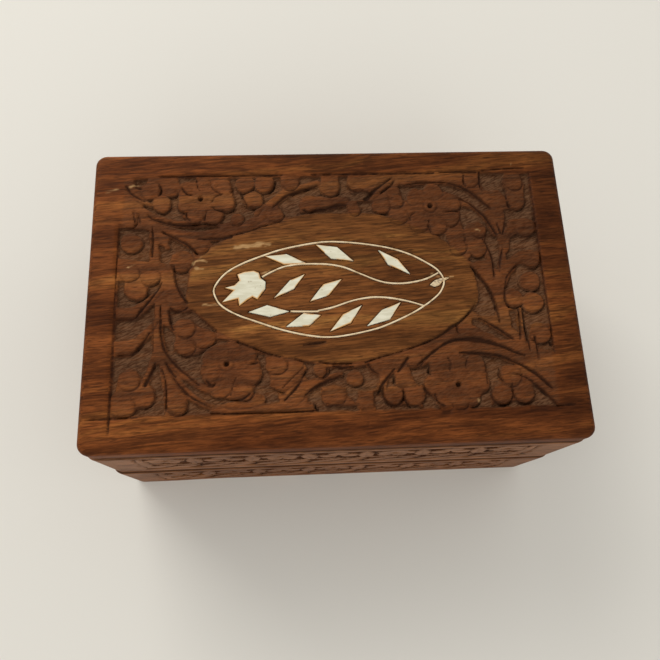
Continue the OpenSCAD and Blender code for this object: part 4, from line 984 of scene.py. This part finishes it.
def wood(name, shift=(0, 0, 0), pale=0.0, turn=-4.0):
    """Oiled sheesham: brown with orange and dark streaks, the grain along X unless turned.
    pale is how much paler tan is mixed in: painted light, the light that the walls catch off the
    floor and sky. With it the ground is darker: painted shade and dirt in the recesses."""
    n = Nodes(name)
    warp = n.noise(n.coords((16, 40, 40), turn, shift), 2.0)
    bent = n.add("VectorMath", _0=n.add("CombineXYZ", Y=warp, Z=warp).outputs[0], _1=(0, 2.4, 2.4))
    bent.operation = "MULTIPLY"

    def along(scale):
        return n.add("VectorMath", _0=n.coords(scale, turn, shift), _1=bent.outputs[0]).outputs[0]

    bands = n.noise(along((5, 150, 150)), 6.0, 0.62)
    base = n.ramp(bands, (0.28, (0.056, 0.0145, 0.0034)), (0.42, (0.098, 0.0270, 0.0064)),
                  (0.52, (0.140, 0.0400, 0.0095)), (0.64, (0.186, 0.0610, 0.0140)),
                  (0.78, (0.235, 0.0890, 0.0230)))
    vein = n.ramp(n.noise(along((3.5, 300, 300)), 3.0, 0.55),
                  (0.555, 0.0), (0.60, 1.0), (0.66, 0.0))
    fibre = n.noise(n.coords((160, 1700, 1700), turn, shift), 4.0, 0.7)
    base = n.tint(0.7, base, n.ramp(fibre, (0.32, 0.42), (0.68, 1.55)))
    blotch = n.noise(n.coords((40, 90, 90), turn, (3, 1, 2)), 4.0, 0.6)
    base = n.tint(0.6, base, n.ramp(blotch, (0.32, (0.70, 0.66, 0.66)), (0.68, (1.3, 1.33, 1.36))))
    dash = n.ramp(n.noise(along((90, 1000, 1000)), 2.0), (0.60, 0.0), (0.70, 1.0))
    pore = n.ramp(n.noise(n.coords((230, 1900, 1900), turn, shift), 1.0), (0.61, 0.0), (0.70, 1.0))
    dark = n.math("MAXIMUM", n.times(dash, 0.42), n.times(pore, 0.5))
    dark = n.math("MAXIMUM", dark, n.times(vein, 0.5))
    base = n.mix(dark, base, (0.026, 0.0075, 0.002, 1))
    # the oval is planed and yellower, the ground is dull and grey, and the painted shade in the
    # cuts and along the motifs' edges is near black
    base = n.tint(1.0, base, n.plus(n.times(n.attribute("tone"), 2.0), 1.0))
    ground = n.attribute("ground")
    base = n.mix(n.attribute("plain"), base, n.tint(1.0, base, (1.09, 1.36, 1.46, 1)))
    scrape = n.noise(n.coords((420, 2100, 2100), -25.0), 3.0, 0.7)
    # on the walls the ground is darker: painted shade and dirt in the recesses
    if pale:
        dull = n.ramp(scrape, (0.35, (0.022, 0.008, 0.004)), (0.7, (0.085, 0.040, 0.020)))
    else:
        dull = n.ramp(scrape, (0.34, (0.038, 0.0165, 0.0075)), (0.66, (0.158, 0.084, 0.044)))
    dull = n.mix(0.68, base, dull)
    # on the walls a paler tan is mixed in: painted light from the floor and sky
    if pale:
        wear_and_bounce_light = n.ramp(n.plus(n.times(fibre, 0.65), n.times(blotch, 0.35)),
                      (0.36, (0.11, 0.046, 0.022)), (0.62, (0.35, 0.172, 0.088)))
        base = n.mix(pale, base, wear_and_bounce_light)
    base = n.mix(ground, base, dull)
    chipped = n.times(n.attribute("raw"), n.ramp(fibre, (0.3, 0.25), (0.6, 1.0)))
    base = n.mix(chipped, base, (0.42, 0.245, 0.105, 1))
    # painted shade: near-black colour where the shade mask is set
    base = n.mix(n.times(n.attribute("cut"), 0.86, clamp=True), base, (0.015, 0.0052, 0.0024, 1))
    base = n.mix(n.attribute("filler"), base, (0.008, 0.005, 0.004, 1))
    rough = n.plus(n.times(fibre, 0.2), n.plus(0.42, n.times(ground, 0.2)))
    normal = n.bump(n.plus(n.times(fibre, 0.6), n.times(dark, -0.8)), 0.5, 0.00014)
    normal = n.bump(n.times(scrape, ground), 0.8, 0.0004, normal)
    return n.out(Base_Color=base, Roughness=rough, Normal=normal, Specular_IOR_Level=0.05)


def bone(name, aged=0.0):
    """Polished bone, stained by the oil at some of its cut edges. aged is how brown it has worn."""
    n = Nodes(name)
    grain = n.noise(n.coords((250, 900, 900)), 3.0)
    stain = n.noise(n.coords((130, 130, 130), shift=(4, 2, 0)), 2.0)
    base = n.ramp(grain, (0.3, (0.60, 0.565, 0.42)), (0.7, (0.73, 0.70, 0.55)))
    edge = n.times(n.attribute("edge"), n.ramp(stain, (0.44, 0.0), (0.53, 1.0)))
    base = n.mix(edge, base, (0.62, 0.30, 0.07, 1))
    if aged:
        crack = n.noise(n.coords((700, 1500, 1500), 35), 2.0)
        base = n.mix(aged, base, n.ramp(crack, (0.35, (0.20, 0.10, 0.045)),
                                        (0.55, (0.62, 0.45, 0.25))))
    speck = n.ramp(n.noise(n.coords((900, 900, 900)), 1.0), (0.7, 0.0), (0.76, 1.0))
    base = n.mix(n.times(speck, 0.5), base, (0.30, 0.22, 0.13, 1))
    return n.out(Base_Color=base, Roughness=n.plus(n.times(grain, 0.2), 0.28),
                 Normal=n.bump(grain, 0.15, 0.00005))


def wire_metal():
    """Dull inlaid wire, rubbed down with the wood"""
    n = Nodes("wire")
    wear_and_bounce_light = n.noise(n.coords((500, 500, 500)), 3.0)
    base = n.ramp(wear_and_bounce_light, (0.3, (0.52, 0.37, 0.20)), (0.5, (0.72, 0.56, 0.35)),
                  (0.75, (0.82, 0.69, 0.48)))
    return n.out(Base_Color=base, Roughness=n.plus(n.times(wear_and_bounce_light, 0.3), 0.35), Metallic=0.15,
                 Normal=n.bump(wear_and_bounce_light, 0.2, 0.00006))


def brass():
    """Brass with some tarnish and fine wear"""
    n = Nodes("brass")
    wear_and_bounce_light = n.noise(n.coords((220, 220, 220)), 4.0, 0.6)
    fine = n.noise(n.coords((300, 2600, 2600)), 2.0)
    base = n.ramp(wear_and_bounce_light, (0.3, (0.34, 0.21, 0.07)), (0.5, (0.62, 0.43, 0.16)),
                  (0.75, (0.76, 0.57, 0.25)))
    rough = n.plus(n.plus(n.times(fine, 0.2), n.times(wear_and_bounce_light, 0.25)), 0.08)
    return n.out(Base_Color=base, Metallic=1.0, Roughness=rough,
                 Normal=n.bump(fine, 0.2, 0.00004))


def velvet():
    """Short-pile velvet with the nap pressed here and there"""
    n = Nodes("velvet")
    nap = n.noise(n.coords((45, 45, 45)), 3.0, 0.6)
    pile = n.noise(n.coords((3200, 3200, 3200)), 2.0)
    base = n.ramp(nap, (0.3, (0.11, 0.006, 0.014)), (0.55, (0.19, 0.012, 0.026)),
                  (0.75, (0.27, 0.022, 0.040)))
    base = n.tint(0.5, base, n.ramp(pile, (0.3, 0.6), (0.7, 1.3)))
    normal = n.bump(pile, 0.5, 0.0002, n.bump(nap, 0.3, 0.0006))
    return n.out(Base_Color=base, Roughness=0.85, Sheen_Weight=0.7, Sheen_Roughness=0.35,
                 Sheen_Tint=(0.85, 0.35, 0.4, 1), Normal=normal)


def paint(node, material):
    """Gives a CAD node its material"""
    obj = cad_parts[node]
    for slot in obj.material_slots:
        slot.material = material
    if not obj.material_slots:
        obj.data.materials.append(material)


# ---- the box -------------------------------------------------------------


def build_lid():
    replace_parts(carved_panel(wood("sheesham_lid")), "lid_panel")
    # the rails get a paler tan, painted light, and darker ground, painted shade and dirt
    rail = wood("sheesham_rail", (0.3, 0.02, 0.01), 0.75)
    carved_wall("lid_rail_front", 0, rail, 1)
    side_rail = wood("sheesham_side_rail", (0.1, 0.4, 0.01), 0.75, 88.0)
    carved_wall("lid_rail_left", -1, side_rail, 2)
    carved_wall("lid_rail_right", 1, side_rail, 3)
    paint("lid_rail_back", rail)
    ivory, chipped, metal = bone("bone"), bone("bone_chipped", 0.75), wire_metal()
    wire("oval_wire", "inlay_oval_wire", OVAL, True, metal)
    wire("upper_stem_wire", "inlay_upper_stem", UPPER_STEM, False, metal)
    wire("lower_stem_wire", "inlay_lower_stem", LOWER_STEM, False, metal)
    bone_low = box_mm("inlay_flower")[0][2]
    shapes = [("inlay_flower", BONE_FLOWER), ("inlay_tip", BONE_TIP)]
    shapes += [("inlay_leaf_%d" % (i + 1), p) for i, p in enumerate(BONE_LEAVES)]
    for node, outline in shapes:
        plate(node, outline, bone_low, TOP + BONE_OUT, chipped if node == "inlay_tip" else ivory)


def build_base():
    # the base's walls and bottom board get a paler tan, painted light, and darker ground, painted
    # shade and dirt
    wall = wood("sheesham_base", (0.7, 0.05, 0.03), 0.6)
    carved_wall("base_front", 0, wall, 4)
    side_wall = wood("sheesham_side", (0.2, 0.6, 0.03), 0.6, 91.0)
    carved_wall("base_left", -1, side_wall, 5)
    carved_wall("base_right", 1, side_wall, 6)
    paint("base_back", wall)
    paint("base_bottom", wood("sheesham_board", (1.3, 0.2, 0.1), 0.3))


def build_hinges():
    metal = brass()
    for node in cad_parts:
        if node.startswith("hinge_"):
            paint(node, metal)


def build_linings():
    cloth = velvet()
    for body, flat, sign in (("base", "floor", 1), ("lid", "top", -1)):
        for wall, axis, way in ((flat, 2, sign), ("front", 1, 1), ("back", 1, -1), ("left", 0, 1),
                                ("right", 0, -1)):
            velvet_pad("%s_lining_%s" % (body, wall), axis, way, cloth, body)


# ---- stage, light and camera ---------------------------------------------


def build_stage():
    size = 2.4
    mesh = bpy.data.meshes.new("floor")
    mesh.from_pydata([(x * size, y * size, 0) for x, y in ((-1, -1), (1, -1), (1, 1), (-1, 1))],
                     [], [(0, 1, 2, 3)])
    mesh.materials.append(Nodes("floor").out(Base_Color=(0.74, 0.72, 0.67, 1), Roughness=0.7,
                                             Specular_IOR_Level=0.2))
    floor = bpy.data.objects.new("floor", mesh)
    bpy.context.scene.collection.objects.link(floor)
    world = bpy.data.worlds.new("studio")
    world.use_nodes = True
    sky = world.node_tree.nodes["Background"]
    sky.inputs["Color"].default_value = (1.0, 0.985, 0.95, 1)
    sky.inputs["Strength"].default_value = 0.71
    bpy.context.scene.world = world

    def area(name, place, target, power, colour):
        light = bpy.data.lights.new(name, "AREA")
        light.size, light.energy, light.color = 1.0, power, colour
        obj = bpy.data.objects.new(name, light)
        obj.location = place
        look = Vector(target) - Vector(place)
        obj.rotation_euler = look.to_track_quat("-Z", "Y").to_euler()
        bpy.context.scene.collection.objects.link(obj)

    area("key", (-0.7, 1.1, 1.0), (0, 0.16, 0.05), 12.5, (1.0, 0.98, 0.93))
    area("fill", (0.1, -1.2, 0.9), (0, -0.05, 0.03), 3, (1.0, 0.98, 0.95))


def build_camera():
    tilt, roll, yaw = math.radians(72.53), math.radians(7.65), math.radians(-9.65)
    place = np.array([-12.0, -72.5, 265.0]) * MM
    right = np.array([math.cos(yaw), math.sin(yaw), 0])
    level = np.array([-math.sin(yaw), math.cos(yaw), 0])
    ahead = level * math.cos(tilt) + np.array([0, 0, -1]) * math.sin(tilt)
    up = np.cross(right, ahead)
    right = right * math.cos(roll) + up * math.sin(roll)
    up = np.cross(right, ahead)
    data = bpy.data.cameras.new("camera")
    data.sensor_width, data.lens = 36.0, 36.43
    camera = bpy.data.objects.new("camera", data)
    pose = np.eye(4)
    pose[:3] = np.column_stack([right, up, -ahead, place])
    camera.matrix_world = Matrix(pose.tolist())
    bpy.context.scene.collection.objects.link(camera)
    bpy.context.scene.camera = camera


bpy.context.scene.view_settings.view_transform = "Standard"
build_camera()
build_stage()
build_lid()
build_base()
build_hinges()
build_linings()
